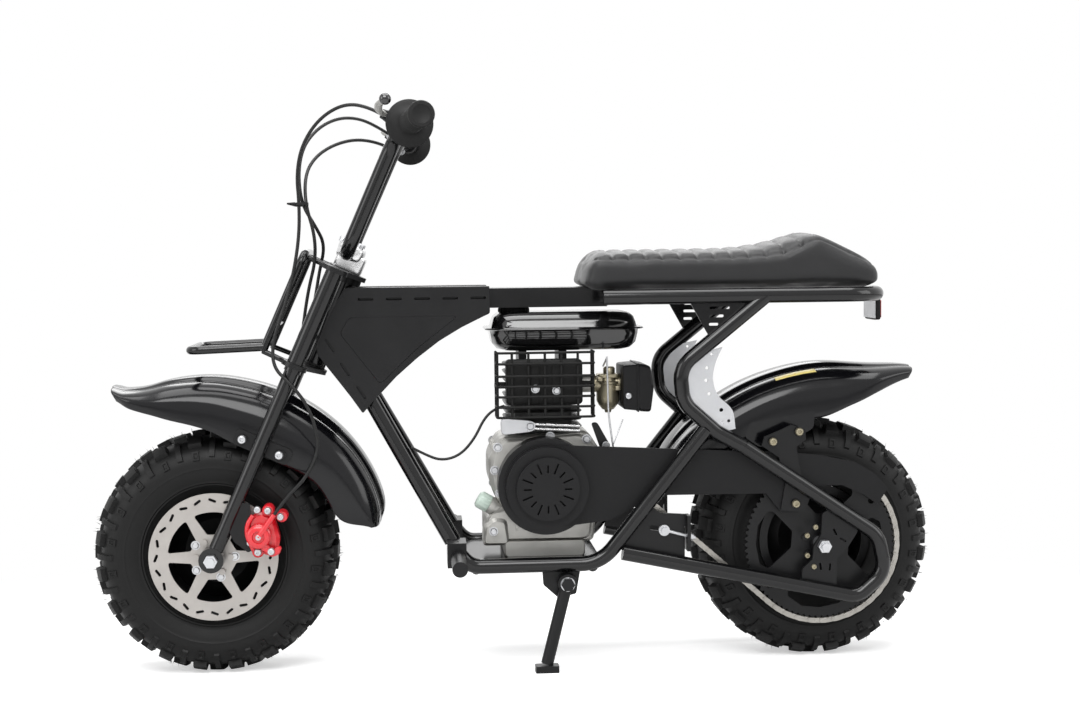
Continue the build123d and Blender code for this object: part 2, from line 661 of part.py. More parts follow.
def caliper_lever_end():
    """Where the front brake's cable takes hold of the caliper's lever."""
    return Vector(WHEELBASE - 92, DISC_Y + DISC_THICKNESS + 38, 66)


def caliper_bracket():
    """Plate from the left leg to the caliper."""
    plate = side_plate(at_front_axle([(-57, 6), (-33, 26), (-21, 52), (-35, 82), (-57, 82)], 4), 98.0, 102.0)
    return plate - fork_legs()


# Frame

def head_tube():
    bore = Cylinder(STEM_RADIUS + RUNNING_GAP, 400)
    body = Cylinder(HEAD_TUBE_RADIUS, HEAD_TUBE_LENGTH)
    return fork_plane(HEAD_TUBE_W) * (body - bore)


def head_space():
    """The head tube's own space, for what is welded round it."""
    return fork_plane(HEAD_TUBE_W) * Cylinder(HEAD_TUBE_RADIUS, HEAD_TUBE_LENGTH)


def top_tube():
    """Rectangular backbone from the head tube to the seat rails, with a gusset under its front."""
    length = HEAD_X - CROSS_TUBE_X
    tube = Pos(CROSS_TUBE_X + length / 2, 0, (TOP_TUBE_LOW_Z + TOP_TUBE_HIGH_Z) / 2) * Box(
        length, 2 * TOP_TUBE_HALF_WIDTH, TOP_TUBE_HIGH_Z - TOP_TUBE_LOW_Z)
    front = fork_plane(0, -3 + 200) * Box(400, 400, 800)
    return tube - front - head_space() - cross_rod(CROSS_TUBE_X, RAIL_Z, -FRAME_Y, FRAME_Y, CROSS_TUBE_RADIUS)


def down_tube_points():
    top = Vector(HEAD_X - 34, 40, 272)
    bottom = Vector(547, 80, 16)
    return top, bottom


def down_tubes():
    top, bottom = down_tube_points()
    tube = rod(top, bottom, DOWN_TUBE_RADIUS)
    return joined(both_sides(tube - head_space() - cradle_tube()))


def cradle_tube():
    """The left lower tube, from the down tube's foot back under the engine and up to the seat stay."""
    return bent_tube([
        (548, FRAME_Y, 14), (CRADLE_FRONT_X - 8, FRAME_Y, CRADLE_Z), (CRADLE_REAR_X, FRAME_Y, CRADLE_Z),
        (STAY_TOP_X, FRAME_Y, STAY_TOP_Z)], [30, 60], TUBE_RADIUS)


def engine_plate():
    """Pressed plate under the engine with its two cross tubes."""
    x_low = 330.0
    x_high = 528.0
    plate = Pos((x_low + x_high) / 2, 0, CRADLE_Z + 2) * Box(x_high - x_low, 2 * FRAME_Y - 2, 4)
    for x in (x_low + 14, x_high - 14):
        plate += cross_rod(x, CRADLE_Z - 4, -FRAME_Y, FRAME_Y, 8)
    for tube in both_sides(cradle_tube()):
        plate -= tube
    return plate


def rail():
    """Seat rail: a hoop from the cross tube's left end round the tail to its right end."""
    hoop = bent_tube([
        (RAIL_FRONT_X, FRAME_Y, RAIL_Z), (RAIL_REAR_X, FRAME_Y, RAIL_Z), (RAIL_REAR_X, -FRAME_Y, RAIL_Z),
        (RAIL_FRONT_X, -FRAME_Y, RAIL_Z)], [60, 60], TUBE_RADIUS)
    return hoop + cross_rod(CROSS_TUBE_X, RAIL_Z, -FRAME_Y, FRAME_Y, CROSS_TUBE_RADIUS)


def seat_stay():
    """The left S-shaped tube from the seat rail down to the upper stay."""
    return bent_tube([
        (86, FRAME_Y, RAIL_Z), (214, FRAME_Y, 268), (209, FRAME_Y, 216), (160, FRAME_Y, 172), (120, FRAME_Y, 150)],
        [40, 40, 40], TUBE_RADIUS)


# Where the rear tube is cut between its upper and lower halves
STAY_SPLIT = (-86.0, FRAME_Y, -12.5)


def upper_stay():
    """The rear tube's upper half: from the seat stay back and down to its rounded end."""
    return bent_tube([(120, FRAME_Y, 150), (-80, FRAME_Y, 15), STAY_SPLIT], [36], TUBE_RADIUS)


def lower_stay():
    """The rear tube's lower half: from its rounded end forwards under the wheel's axle to the cradle."""
    tube = bent_tube(
        [STAY_SPLIT, (-92, FRAME_Y, -40), (-50, FRAME_Y, -76), (300, FRAME_Y, -2)], [36, 30], TUBE_RADIUS)
    return tube - cradle_tube()


def axle_plate():
    """Pressed plate between the left stays that carries the rear axle."""
    face = outline([
        (2, 48), (-14, 58), (-54, 33), (-50, 18), (-37, -2), (-20, -20), (-19, -68), (34, -58), (32, -34),
        (17, -20), (15, 0), (4, 16)], 3)
    for x, z, turn in ((-17, 20, 62), (-29, 8, 30), (5, -31, 80), (-9, -32, 95)):
        face -= Pos(x, z) * Rot(Z=turn) * SlotOverall(11, 3)
    plate = side_plate(face, DROPOUT_Y, DROPOUT_Y + DROPOUT_THICKNESS)
    plate -= cross_rod(0, 0, 0, 200, AXLE_RADIUS)
    return plate - upper_stay() - lower_stay()


def adjuster_plate():
    """Gusset between the cradle tube and the lower stay that holds the chain adjuster's eye bolt."""
    face = outline([
        (265, 66), (242, 54), (200, 51), (201, 40), (207, 33), (207, -18), (302, 1), (291, 34)], 2)
    face -= Pos(246, 31) * Rot(Z=10) * SlotOverall(26, 7)
    low = LUG_PLATE_Y
    plate = side_plate(face, low, low + LUG_PLATE_THICKNESS)
    plate += Pos(203, low + 8, 25) * Box(5, 24, 52)
    return plate - cradle_tube() - lower_stay() - eye_stem(RUNNING_GAP)


def eye_stem(clearance=0.0):
    """The eye bolt's stem, or with a clearance the hole for it."""
    y = LUG_PLATE_Y + LUG_PLATE_THICKNESS + 3
    return rod((238, y, 29), (192, y, 16.5), 2.5 + clearance)


def eye_bolt():
    """Bright eye bolt through the adjuster plate's tab."""
    high = LUG_PLATE_Y + LUG_PLATE_THICKNESS
    ring = cross_rod(238, 29, high, high + 6, 8)
    nut = rod((199.5, high + 3, 18.6), (195.5, high + 3, 17.5), 5)
    return ring + eye_stem() + nut + bolt_head(238, 29, high + 6, 4, 5) - adjuster_plate()


def seat_gusset():
    """Slotted triangle between the seat rail and the seat stay."""
    face = outline([(200, 365), (104, 365), (166, 304)], 2)
    for x, z, length in ((155, 354, 30), (160, 342, 22), (164, 330, 14)):
        face -= Pos(x, z) * SlotOverall(length, 4)
    return side_plate(face, FRAME_Y - 2, FRAME_Y + 2) - rail() - seat_stay()


def stay_gusset():
    """Bright crescent inside the seat stay's bend."""
    face = outline([
        (146, 294), (176, 290), (212, 250), (206, 212), (160, 172), (126, 177), (156, 220), (160, 250)], 2)
    face -= Pos(164, 206) * Circle(2.5)
    face -= Pos(148, 190) * Circle(2.5)
    low = LUG_PLATE_Y + 2
    return side_plate(face, low, low + 3) - seat_stay() - cradle_tube() - upper_stay()


def rear_axle():
    reach = DROPOUT_Y + DROPOUT_THICKNESS
    bolt = cross_rod(0, 0, -reach - 14, reach + 16, AXLE_RADIUS)
    for y in (reach, -reach - 10):
        bolt += Pos(0, y, 0) * Rot(X=-90) * extrude(RegularPolygon(10, 6), amount=10)
    return bolt


def side_panel():
    """Left pressed panel: a slotted upper edge and down tube edge round a triangular recess."""
    face = outline([
        (-26, 389), (-237, 388), (-237, 358), (-74, 240), (-68, 216), (-63, 186), (-55, 180), (-9, 258), (16, 300)])
    for x in (-220, -179, -138, -97, -56):
        face -= Pos(x, 372) * SlotOverall(23, 4)
    for x, z in ((-2, 294), (-23, 260), (-45, 225)):
        face -= Pos(x, z) * Rot(Z=57) * SlotOverall(23, 4)
    plate = side_plate(face, PANEL_Y, PANEL_Y + PANEL_THICKNESS)
    recess = outline([(-31, 348), (-184, 348), (-69, 254), (-16, 328)], 4)
    plate -= side_plate(recess, PANEL_Y + PANEL_THICKNESS - 1.5, PANEL_Y + PANEL_THICKNESS + 1)
    flange_low = TOP_TUBE_HALF_WIDTH - 4
    flange = Pos(-135, (flange_low + PANEL_Y + 1) / 2, TOP_TUBE_HIGH_Z + 1.25) * Box(
        203, PANEL_Y + 1 - flange_low, 2.5)
    return Pos(HEAD_X, 0, 0) * (plate + flange)


# Engine

def engine_block():
    """Crankcase, finned cylinder and head, with the oil filler's neck."""
    case = side_plate(outline([
        (336, 6), (322, 138), (344, 172), (474, 164), (491, 134), (491, 98), (480, 70), (462, 46), (498, 46),
        (498, 6)], 4), CASE_RIGHT_Y, CASE_LEFT_Y)
    plate_top = CRADLE_Z + 4
    foot = Pos(410, 0, (10 + plate_top) / 2) * Box(120, 130, 10 - plate_top)
    barrel = Pos(CYLINDER_X, 0, (160 + CYLINDER_TOP_Z) / 2) * Box(
        92, 2 * CYLINDER_HALF_WIDTH, CYLINDER_TOP_Z - 160)
    for i in range(6):
        barrel += Pos(CYLINDER_X, 0, 184 + 13 * i) * Box(116, 2 * CYLINDER_HALF_WIDTH + 20, 4)
    neck = rod((448, 44, 38), (491, 44, 63), 11)
    port = rod((AIR_CLEANER_FRONT_X + 40, INTAKE_Y, INTAKE_Z), (CYLINDER_X - 40, INTAKE_Y, INTAKE_Z), 13)
    return case + foot + barrel + neck + port


def tank_half(z_seam, z_end, seam_size, end_size, rounding):
    """Half of the tank's pressing, from its seam to its far face."""
    return Pos(TANK_X, TANK_Y, 0) * loft([
        Plane.XY.offset(z_seam) * RectangleRounded(*seam_size, rounding),
        Plane.XY.offset(z_end) * RectangleRounded(*end_size, rounding)])


def fuel_tank():
    """Pressed tank of two halves joined at a flange, with its cap and the two feet on the cylinder."""
    tank = tank_half(TANK_SEAM_Z + 2.5, TANK_TOP_Z, (218, 148), (205, 132), 20)
    tank += tank_half(TANK_SEAM_Z, TANK_BOTTOM_Z, (222, 148), (208, 126), 22)
    flange = Plane.XY.offset(TANK_SEAM_Z) * RectangleRounded(239, 164, 28)
    tank += Pos(TANK_X, TANK_Y, 0) * extrude(flange, amount=2.5)
    cap_top = TOP_TUBE_LOW_Z - SEAT_GAP
    cap = Plane.XY.offset(TANK_TOP_Z - 1) * Circle(23.5)
    tank += Pos(448, TANK_Y, 0) * extrude(cap, amount=cap_top - TANK_TOP_Z + 1)
    for x in (CYLINDER_X - 30, CYLINDER_X + 30):
        tank += Pos(x, 0, (CYLINDER_TOP_Z + TANK_BOTTOM_Z) / 2) * Box(12, 70, TANK_BOTTOM_Z - CYLINDER_TOP_Z)
    return tank


def muffler():
    """Silencer box beside the cylinder on its exhaust pipe."""
    box = Pos(MUFFLER_X, (MUFFLER_INNER_Y + MUFFLER_OUTER_Y) / 2, MUFFLER_Z) * Box(
        112, MUFFLER_OUTER_Y - MUFFLER_INNER_Y, 66)
    box = fillet(box.edges(), 6)
    pipe = cross_rod(MUFFLER_X - 20, MUFFLER_Z - 3, CYLINDER_HALF_WIDTH - 2, MUFFLER_INNER_Y + 2, 12)
    return box + (pipe - engine_block())


def muffler_guard():
    """Cage of wires round the silencer, held by a strip on each of its ends."""
    x_low, x_high, z_low, z_high = 338.0, 480.0, 198.0, 292.0
    y_front, y_back = MUFFLER_OUTER_Y + 9, MUFFLER_INNER_Y + 5
    wire = 3.4
    bars = []
    for z in (z_low, 213.0, 228.0, 243.0, 258.0, 276.0, z_high):
        bars.append(Pos((x_low + x_high) / 2, y_front, z) * Box(x_high - x_low + wire, wire, wire))
        for x in (x_low, x_high):
            bars.append(Pos(x, (y_front + y_back) / 2, z) * Box(wire, y_front - y_back + wire, wire))
    for x in (x_low, x_low + 46, x_low + 94, x_high):
        bars.append(Pos(x, y_front, (z_low + z_high) / 2) * Box(wire, wire, z_high - z_low))
    for x in (x_low, x_high):
        bars.append(Pos(x, y_back, (z_low + z_high) / 2) * Box(wire, wire, z_high - z_low))
    for x_start, x_end in ((x_low, MUFFLER_X - 56), (MUFFLER_X + 56, x_high)):
        bars.append(Pos((x_start + x_end) / 2, y_back + 4, MUFFLER_Z - 5) * Box(x_end - x_start, wire, 10))
    return Part() + bars - muffler()


def carburettor():
    """Carburettor body and float bowl on the intake pipe."""
    x = AIR_CLEANER_FRONT_X + 18
    bowl = Pos(x, INTAKE_Y, 194) * extrude(Circle(8), amount=12, taper=-40)
    body = Pos(x, INTAKE_Y, 205) * extrude(Circle(17.5), amount=42)
    top = Pos(x, INTAKE_Y, 250) * Box(34, 30, 6) + Pos(x - 2, INTAKE_Y, 252) * extrude(Circle(9), amount=12)
    pipe = rod((AIR_CLEANER_FRONT_X + SEAT_GAP, INTAKE_Y, INTAKE_Z), (CYLINDER_X - 44, INTAKE_Y, INTAKE_Z), 13)
    return bowl + body + top + pipe - engine_block()


def air_cleaner():
    """Air cleaner box with its deeper rear cover."""
    box = side_plate(outline([
        (AIR_CLEANER_FRONT_X, 267), (262, 269), (247, 266), (242, 234), (247, 197), (AIR_CLEANER_FRONT_X, 203)], 4),
        -36, 48)
    return box


def recoil_starter():
    """Round recoil housing on the engine's right side."""
    shell = cross_rod(412, CRANK_Z, CASE_RIGHT_Y - 41, CASE_RIGHT_Y, 74)
    shell = chamfer(shell.edges().sort_by(Axis.Y)[0], 14)
    return shell


def oil_plug():
    return rod((491, 44, 63), (509, 44, 73.5), 13) - engine_block()


# Drive

def front_cover_circle():
    return Pos(ENGINE_X, CRANK_Z) * Circle(62)


def chain_cover():
    """Moulded cover: round over the clutch, straight to the rear, and curved over the big sprocket."""
    face = outline([
        (ENGINE_X, 157), (122, 142), (60, 140), (0, 133), (-50, 122), (-80, 104), (-100, 82), (-84, 58), (-62, 74),
        (-30, 88), (10, 88), (36, 48), (60, 48), (84, 78), (246, 79), (316, 44), (ENGINE_X, 33)])
    face += front_cover_circle()
    cover = side_plate(face, COVER_Y, COVER_Y + COVER_THICKNESS)
    cover += cross_rod(ENGINE_X, CRANK_Z, COVER_Y, COVER_Y + 22, 60)
    cover += cross_rod(ENGINE_X, CRANK_Z, COVER_Y, COVER_Y + 30, 46)
    cover -= cross_rod(ENGINE_X, CRANK_Z, COVER_Y - 1, COVER_Y + 18, 56)
    for i in range(16):
        length = 16.0 if i % 2 else 11.0
        slit = Pos(24 + length / 2, 0, 0) * Box(length, 2.4, 10)
        cover -= Location((ENGINE_X, COVER_Y + 27, CRANK_Z), (-90, 0, 0)) * Rot(Z=22.5 * i) * slit
    return cover


def clutch_housing():
    """Drum over the clutch with the arm that carries the countershaft, bolted to the crankcase."""
    drum = cross_rod(ENGINE_X, CRANK_Z, CASE_LEFT_Y, COVER_Y - SEAT_GAP, 71)
    face = outline([
        (ENGINE_X, CRANK_Z + 50), (COUNTERSHAFT_X - 4, COUNTERSHAFT_Z + 24), (COUNTERSHAFT_X - 4, COUNTERSHAFT_Z - 24),
        (ENGINE_X, CRANK_Z - 50)])
    face += Pos(COUNTERSHAFT_X, COUNTERSHAFT_Z) * Circle(26)
    arm = side_plate(face, ARM_Y, ARM_Y + ARM_THICKNESS)
    housing = drum + arm
    return housing - cross_rod(COUNTERSHAFT_X, COUNTERSHAFT_Z, 0, 200, COUNTERSHAFT_RADIUS)


def countershaft():
    """Short shaft with the small sprocket in the chain's plane."""
    shaft = cross_rod(COUNTERSHAFT_X, COUNTERSHAFT_Z, ARM_Y - 8, SPROCKET_Y + 6, COUNTERSHAFT_RADIUS)
    face = toothed_outline(COUNTERSHAFT_TEETH, SMALL_CHAIN_RADIUS - ROLLER_GAP, 3.0)
    ring = extrude(face, amount=SPROCKET_THICKNESS)
    return shaft + Location(
        (COUNTERSHAFT_X, SPROCKET_Y - SPROCKET_THICKNESS / 2, COUNTERSHAFT_Z), (-90, 0, 0)) * ring


def chain():
    """Closed roller chain round the big sprocket and the countershaft's small one."""
    outer = chain_band(CHAIN_RADIUS + 3.6, SMALL_CHAIN_RADIUS + 3.6)
    inner = chain_band(CHAIN_RADIUS - 2.8, SMALL_CHAIN_RADIUS - 2.8)
    return side_plate(outer - inner, SPROCKET_Y - 4.5, SPROCKET_Y + 4.5)


def chain_band(big_radius, small_radius):
    """The filled outline of a belt round both sprocket centres."""
    dx = COUNTERSHAFT_X
    dz = COUNTERSHAFT_Z
    span = math.hypot(dx, dz)
    heading = math.atan2(dz, dx)
    spread = math.acos((big_radius - small_radius) / span)
    points = []
    for angle in (heading + spread, heading - spread):
        points.append((big_radius * math.cos(angle), big_radius * math.sin(angle)))
    for angle in (heading - spread, heading + spread):
        points.append((dx + small_radius * math.cos(angle), COUNTERSHAFT_Z + small_radius * math.sin(angle)))
    face = Circle(big_radius)
    face += Pos(COUNTERSHAFT_X, COUNTERSHAFT_Z) * Circle(small_radius)
    return face + Polygon(*points, align=None)


# Seat and tail

def seat():
    """Plain closed form of the seat: flat front and a hump at the rear."""
    base_z = RAIL_Z + TUBE_RADIUS + SEAT_GAP
    face = outline([
        (372, base_z), (370, 410), (346, 432), (140, 434), (62, 444), (14, 457), (-10, 452), (-60, 426),
        (-92, 404), (-96, base_z)])
    block = side_plate(face, -108, 108)
    recess = Pos(CROSS_TUBE_X + 40, 0, TOP_TUBE_HIGH_Z - 15 + SEAT_GAP) * Box(
        100, 2 * TOP_TUBE_HALF_WIDTH + 2, 30)
    return fillet(block.edges().filter_by(Axis.Y).group_by(Axis.Z)[-1], 8) - recess


def tail_bracket():
    return Pos(RAIL_REAR_X - 8, 0, RAIL_Z - TUBE_RADIUS - 11) * Box(3, 60, 34) - rail()


def tail_reflector():
    return Pos(RAIL_REAR_X - 9.5 - 4, 0, RAIL_Z - TUBE_RADIUS - 14) * Box(8, 56, 26)


# Cords

# Chosen points; every cord turns with the fork except the engine's wire
FRONT_BRAKE_ROUTE = [
    (632, 163, 627), (652, 137, 642), (690, 112, 652), (728, 100, 632), (754, 93, 595), (763, 89, 553),
    (760, 86, 510), (761, 87, 465), (769, 90, 415), (782, 96, 366), (801, 98, 315), (801, 105, 277),
    (776, 112, 254), (753, 114, 224), (741, 115, 190), (738, 115, 155), (756, 114.5, 119), (784, 114.5, 92),
    (802.4, 114.5, 66.9)]
REAR_BRAKE_ROUTE = [
    (632, -163.2, 627), (656, -124, 640), (682, -82, 647), (709, -38, 643), (736, 6, 625), (756, 44, 595),
    (762, 70, 555), (757, 78.5, 510), (740, 56, 480), (727, 32, 452), (737, 25, 412), (744, 29, 369),
    (755, 32, 324), (771.2, 30, 282.7)]
THROTTLE_ROUTE = [
    (614.8, -164, 601.8), (626, -128, 600), (650, -92, 610), (683, -58, 613), (715, -22, 602), (740, 16, 582),
    (753, 54, 554), (751.5, 84.5, 510), (740, 74, 469), (740, 55, 430), (752, 47, 387), (761, 45, 333),
    (767.7, 48, 281.2)]
ENGINE_WIRE_ROUTE = [
    (606, 59.7, 153), (588, 60, 143), (562, 60, 132), (534, 58, 139), (512, 55, 163), (497, 50, 193),
    (480, 46, 207), (466.6, 44, 210)]


def bend_radii(points):
    """The largest arc that each inner point allows: 0.45 of its shorter run over the tangent of half its turn."""
    radii = []
    for before, here, after in zip(points, points[1:], points[2:]):
        arriving = Vector(*here) - Vector(*before)
        leaving = Vector(*after) - Vector(*here)
        half_turn = math.acos(arriving.normalized().dot(leaving.normalized())) / 2
        radii.append(0.45 * min(arriving.length, leaving.length) / math.tan(half_turn))
    return radii


def cord(name, points, radius):
    """A free cord along chosen points, its bends as wide as its runs allow."""
    radii = bend_radii(points)
    print(name, "bend radii in mm:", [round(bend, 1) for bend in radii])
    return bent_tube(points, radii, radius)


# Side stand

def stand_bracket():
    """Plate under the left cradle tube with the pivot bolt through it."""
    face = outline([
        (STAND_X - 22, CRADLE_Z), (STAND_X + 36, CRADLE_Z), (STAND_X + 34, -48), (STAND_X + 12, -68),
        (STAND_X - 14, -62)], 4)
    plate = side_plate(face, STAND_PLATE_Y, STAND_PLATE_Y + 5)
    plate += cross_rod(STAND_X, STAND_Z, STAND_PLATE_Y - 6, STAND_HEAD_Y, STAND_BOLT_RADIUS)
    plate += Pos(STAND_X, STAND_HEAD_Y, STAND_Z) * Rot(X=-90) * extrude(RegularPolygon(10, 6), amount=7)
    return plate - cradle_tube()


def stand_leg():
    """Side stand: an eye on the pivot bolt, the leg and its foot pad on the floor."""
    eye_low = STAND_PLATE_Y + 5 + SEAT_GAP
    eye_high = STAND_HEAD_Y - SEAT_GAP
    eye = cross_rod(STAND_X, STAND_Z, eye_low, eye_high, 14)
    middle = (eye_low + eye_high) / 2
    foot_top = (STAND_FOOT_X, STAND_FOOT_Y, STAND_FOOT_Z + 12)
    leg = rod((STAND_X + 3, middle, STAND_Z - 10), foot_top, STAND_LEG_RADIUS)
    foot_plane = Plane(origin=(STAND_FOOT_X, STAND_FOOT_Y, STAND_FOOT_Z), x_dir=(1, 0, 0),
                       z_dir=(0, -math.sin(math.radians(LEAN)), math.cos(math.radians(LEAN))))
    foot = foot_plane * Pos(0, 0, 5) * Box(34, 26, 10)
    foot = fillet(foot.edges().filter_by(lambda e: e.length < 11), 3)
    return (eye + leg + foot) - cross_rod(STAND_X, STAND_Z, 0, 200, STAND_BOLT_RADIUS + RUNNING_GAP)


def foot_pegs():
    """Folding pegs on the down tubes' feet."""
    top, bottom = down_tube_points()
    block = Pos(PEG_X + 2, (bottom.Y + PEG_INNER_Y) / 2, PEG_Z + 4) * Box(
        PEG_BLOCK_LENGTH, PEG_INNER_Y - bottom.Y, PEG_BLOCK_HEIGHT)
    peg = cross_rod(PEG_X, PEG_Z, PEG_INNER_Y, PEG_INNER_Y + PEG_LENGTH, PEG_RADIUS)
    return joined(both_sides(block + peg - cradle_tube() - rod(top, bottom, DOWN_TUBE_RADIUS)))


def build():
    """Every node by name, in the upright bike's frame."""
    nodes = {}
    nodes["head_tube"] = head_tube()
    nodes["top_tube"] = top_tube()
    nodes["down_tubes"] = down_tubes()
    nodes["cradle_tubes"] = joined(both_sides(cradle_tube()))
    nodes["engine_plate"] = engine_plate()
    nodes["seat_rails"] = rail()
    nodes["seat_stays"] = joined(both_sides(seat_stay() + seat_gusset() - rail() - cradle_tube()))
    nodes["upper_stays"] = joined(both_sides(upper_stay() - seat_stay() - cradle_tube()))
    nodes["lower_stays"] = joined(both_sides(lower_stay()))
    nodes["axle_plates"] = joined(both_sides(axle_plate()))
    nodes["side_panel_left"] = side_panel()
    nodes["side_panel_right"] = mirror(side_panel(), about=Plane.XZ)
    nodes["foot_pegs"] = foot_pegs()
    nodes["rear_axle"] = rear_axle()
    nodes["rear_fender"] = rear_fender()
    nodes["fender_plates"] = joined([*both_sides(fender_plate()), cover_plate()])
    nodes["adjuster_plates"] = joined(both_sides(adjuster_plate()))
    nodes["eye_bolt"] = eye_bolt()
    nodes["stay_gussets"] = joined(both_sides(stay_gusset()))
    nodes["seat"] = seat()
    nodes["tail_bracket"] = tail_bracket()
    nodes["tail_reflector"] = tail_reflector()
    nodes["engine_block"] = engine_block()
    nodes["fuel_tank"] = fuel_tank()
    nodes["muffler"] = muffler()
    nodes["muffler_guard"] = muffler_guard()
    nodes["carburettor"] = carburettor()
    nodes["air_cleaner"] = air_cleaner()
    nodes["recoil_starter"] = recoil_starter()
    nodes["oil_plug"] = oil_plug()
    nodes["chain_cover"] = chain_cover()
    nodes["clutch_housing"] = clutch_housing()
    nodes["countershaft"] = countershaft()
    nodes["drive_chain"] = chain()
    nodes["stand_bracket"] = stand_bracket()
    nodes["side_stand"] = stand_leg()
    nodes["rear_tyre"] = wheel_at(tyre(), 0.0)
    nodes["rear_rim"] = wheel_at(rim(SPROCKET_Y - SPROCKET_THICKNESS / 2, REAR_HUB_RIGHT), 0.0)
    nodes["rear_sprocket"] = wheel_at(sprocket(), 0.0)
    nodes["front_tyre"] = wheel_at(tyre(), WHEELBASE)
    nodes["front_rim"] = wheel_at(rim(DISC_Y, FRONT_HUB_RIGHT), WHEELBASE)
    nodes["front_disc"] = wheel_at(brake_disc(), WHEELBASE)
    nodes["fork_legs"] = fork_legs()
    nodes["fork_plates"] = fork_plates()
    nodes["handlebar"] = handlebar()
    nodes["bar_clamp"] = bar_clamp()
    nodes["grips"] = grips()
    nodes["brake_levers"] = levers()
    nodes["front_fender"] = fender(FRONT_FENDER_TABLE, WHEELBASE, FRONT_FENDER_HALF_WIDTH)
    nodes["fender_brackets"] = fender_bracket()
    nodes["front_rack"] = front_rack()
    nodes["front_axle"] = front_axle()
    leg_face = FORK_LEG_Y - LEG_LUG_WIDTH / 2
    nodes["front_spacers"] = axle_spacers(WHEELBASE, [
        (DISC_Y + DISC_THICKNESS, leg_face), (-leg_face, -FRONT_HUB_RIGHT)])
    nodes["rear_spacers"] = axle_spacers(0.0, [
        (SPROCKET_Y - SPROCKET_THICKNESS / 2, DROPOUT_Y), (-DROPOUT_Y, -REAR_HUB_RIGHT)])
    nodes["front_brake_cable"] = cord("front_brake_cable", FRONT_BRAKE_ROUTE, CABLE_RADIUS)
    nodes["rear_brake_cable"] = cord("rear_brake_cable", REAR_BRAKE_ROUTE, CABLE_RADIUS)
    nodes["throttle_cable"] = cord("throttle_cable", THROTTLE_ROUTE, CABLE_RADIUS)
    nodes["engine_wire"] = cord("engine_wire", ENGINE_WIRE_ROUTE, WIRE_RADIUS)
    nodes["front_caliper"] = brake_caliper()
    nodes["caliper_bracket"] = caliper_bracket()
    return nodes


def parked_place(nodes):
    """The move that leans the bike to its left and puts the bottom centre of its box at the origin."""
    tilt = Rot(X=-LEAN)
    boxes = [(tilt * part).bounding_box() for part in nodes.values()]
    low_x, high_x = min(box.min.X for box in boxes), max(box.max.X for box in boxes)
    low_y, high_y = min(box.min.Y for box in boxes), max(box.max.Y for box in boxes)
    return Pos(-(low_x + high_x) / 2, -(low_y + high_y) / 2, -min(box.min.Z for box in boxes)) * tilt


if __name__ == "__main__":
    bike = build()
    place = parked_place(bike)
    for name, part in bike.items():
        export_step(place * part, f"parts/{name}.step")
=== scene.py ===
"""Mini dirt bike: finishes, detailed pieces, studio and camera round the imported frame.

Shapes are worked out in millimetres in the upright bike's own frame: +X forwards from the rear axle,
+Y to the rider's left, +Z up from the floor. BikeSpace turns them into the leaning row frame in metres.
"""

import json
import logging
import math
from dataclasses import dataclass
from enum import Enum
from functools import cache

import bpy
import numpy as np
from mathutils import Matrix, Vector
from numpy.typing import ArrayLike

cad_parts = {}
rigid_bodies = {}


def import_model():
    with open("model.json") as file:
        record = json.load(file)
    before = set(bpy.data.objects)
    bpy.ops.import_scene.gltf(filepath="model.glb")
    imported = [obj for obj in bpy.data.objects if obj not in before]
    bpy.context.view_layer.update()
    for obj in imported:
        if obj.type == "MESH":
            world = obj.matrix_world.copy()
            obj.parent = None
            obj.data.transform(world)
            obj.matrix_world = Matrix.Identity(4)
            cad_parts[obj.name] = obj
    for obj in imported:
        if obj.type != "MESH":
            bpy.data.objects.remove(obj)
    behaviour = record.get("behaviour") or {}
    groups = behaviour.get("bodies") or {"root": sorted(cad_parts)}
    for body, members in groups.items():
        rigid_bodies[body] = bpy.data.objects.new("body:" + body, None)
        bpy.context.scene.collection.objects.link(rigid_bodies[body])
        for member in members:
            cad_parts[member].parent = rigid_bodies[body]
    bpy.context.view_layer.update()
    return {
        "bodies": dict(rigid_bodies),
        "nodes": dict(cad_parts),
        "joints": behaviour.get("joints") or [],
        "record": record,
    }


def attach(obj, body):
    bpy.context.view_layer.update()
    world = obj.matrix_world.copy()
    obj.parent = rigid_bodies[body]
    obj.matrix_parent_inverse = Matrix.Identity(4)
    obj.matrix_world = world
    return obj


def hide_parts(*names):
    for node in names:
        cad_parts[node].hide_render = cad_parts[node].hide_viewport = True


LOG = logging.getLogger("mini_dirt_bike")

WHEELBASE = 895.0
WHEEL_RADIUS = 180.0
RAKE = math.radians(24.0)
FORK_OFFSET = 20.0
AXLE_DROP = 375.0
HEAD_X = WHEELBASE - FORK_OFFSET * math.cos(RAKE) - AXLE_DROP * math.sin(RAKE)
HEAD_Z = WHEEL_RADIUS - FORK_OFFSET * math.sin(RAKE) + AXLE_DROP * math.cos(RAKE)


# Frame and mesh helpers


@dataclass
class BikeSpace:
    """The upright bike's frame inside the leaning row frame."""

    origin: np.ndarray
    axes: np.ndarray

    @classmethod
    def from_joints(cls, joints: list[dict]) -> "BikeSpace":
        """Reads the frame's place from the two wheel joints.

        Args:
            joints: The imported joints, with pos_m and axis.

        Returns:
            The space whose X runs from the rear axle to the front one and whose Y is the axles' direction.
        """
        places = {joint["name"]: np.array(joint["pos_m"], float) for joint in joints}
        turning = {joint["name"]: np.array(joint["axis"], float) for joint in joints}
        rear = places["rear_wheel_spin"]
        forward = places["front_wheel_spin"] - rear
        forward /= np.linalg.norm(forward)
        left = turning["rear_wheel_spin"]
        up = np.cross(forward, left)
        return cls(rear - up * WHEEL_RADIUS / 1000.0, np.stack([forward, left, up]))

    def to_row(self, points: np.ndarray) -> np.ndarray:
        """Points in bike millimetres as row metres: the origin plus each coordinate along its axis."""
        return self.origin + np.asarray(points, float) / 1000.0 @ self.axes


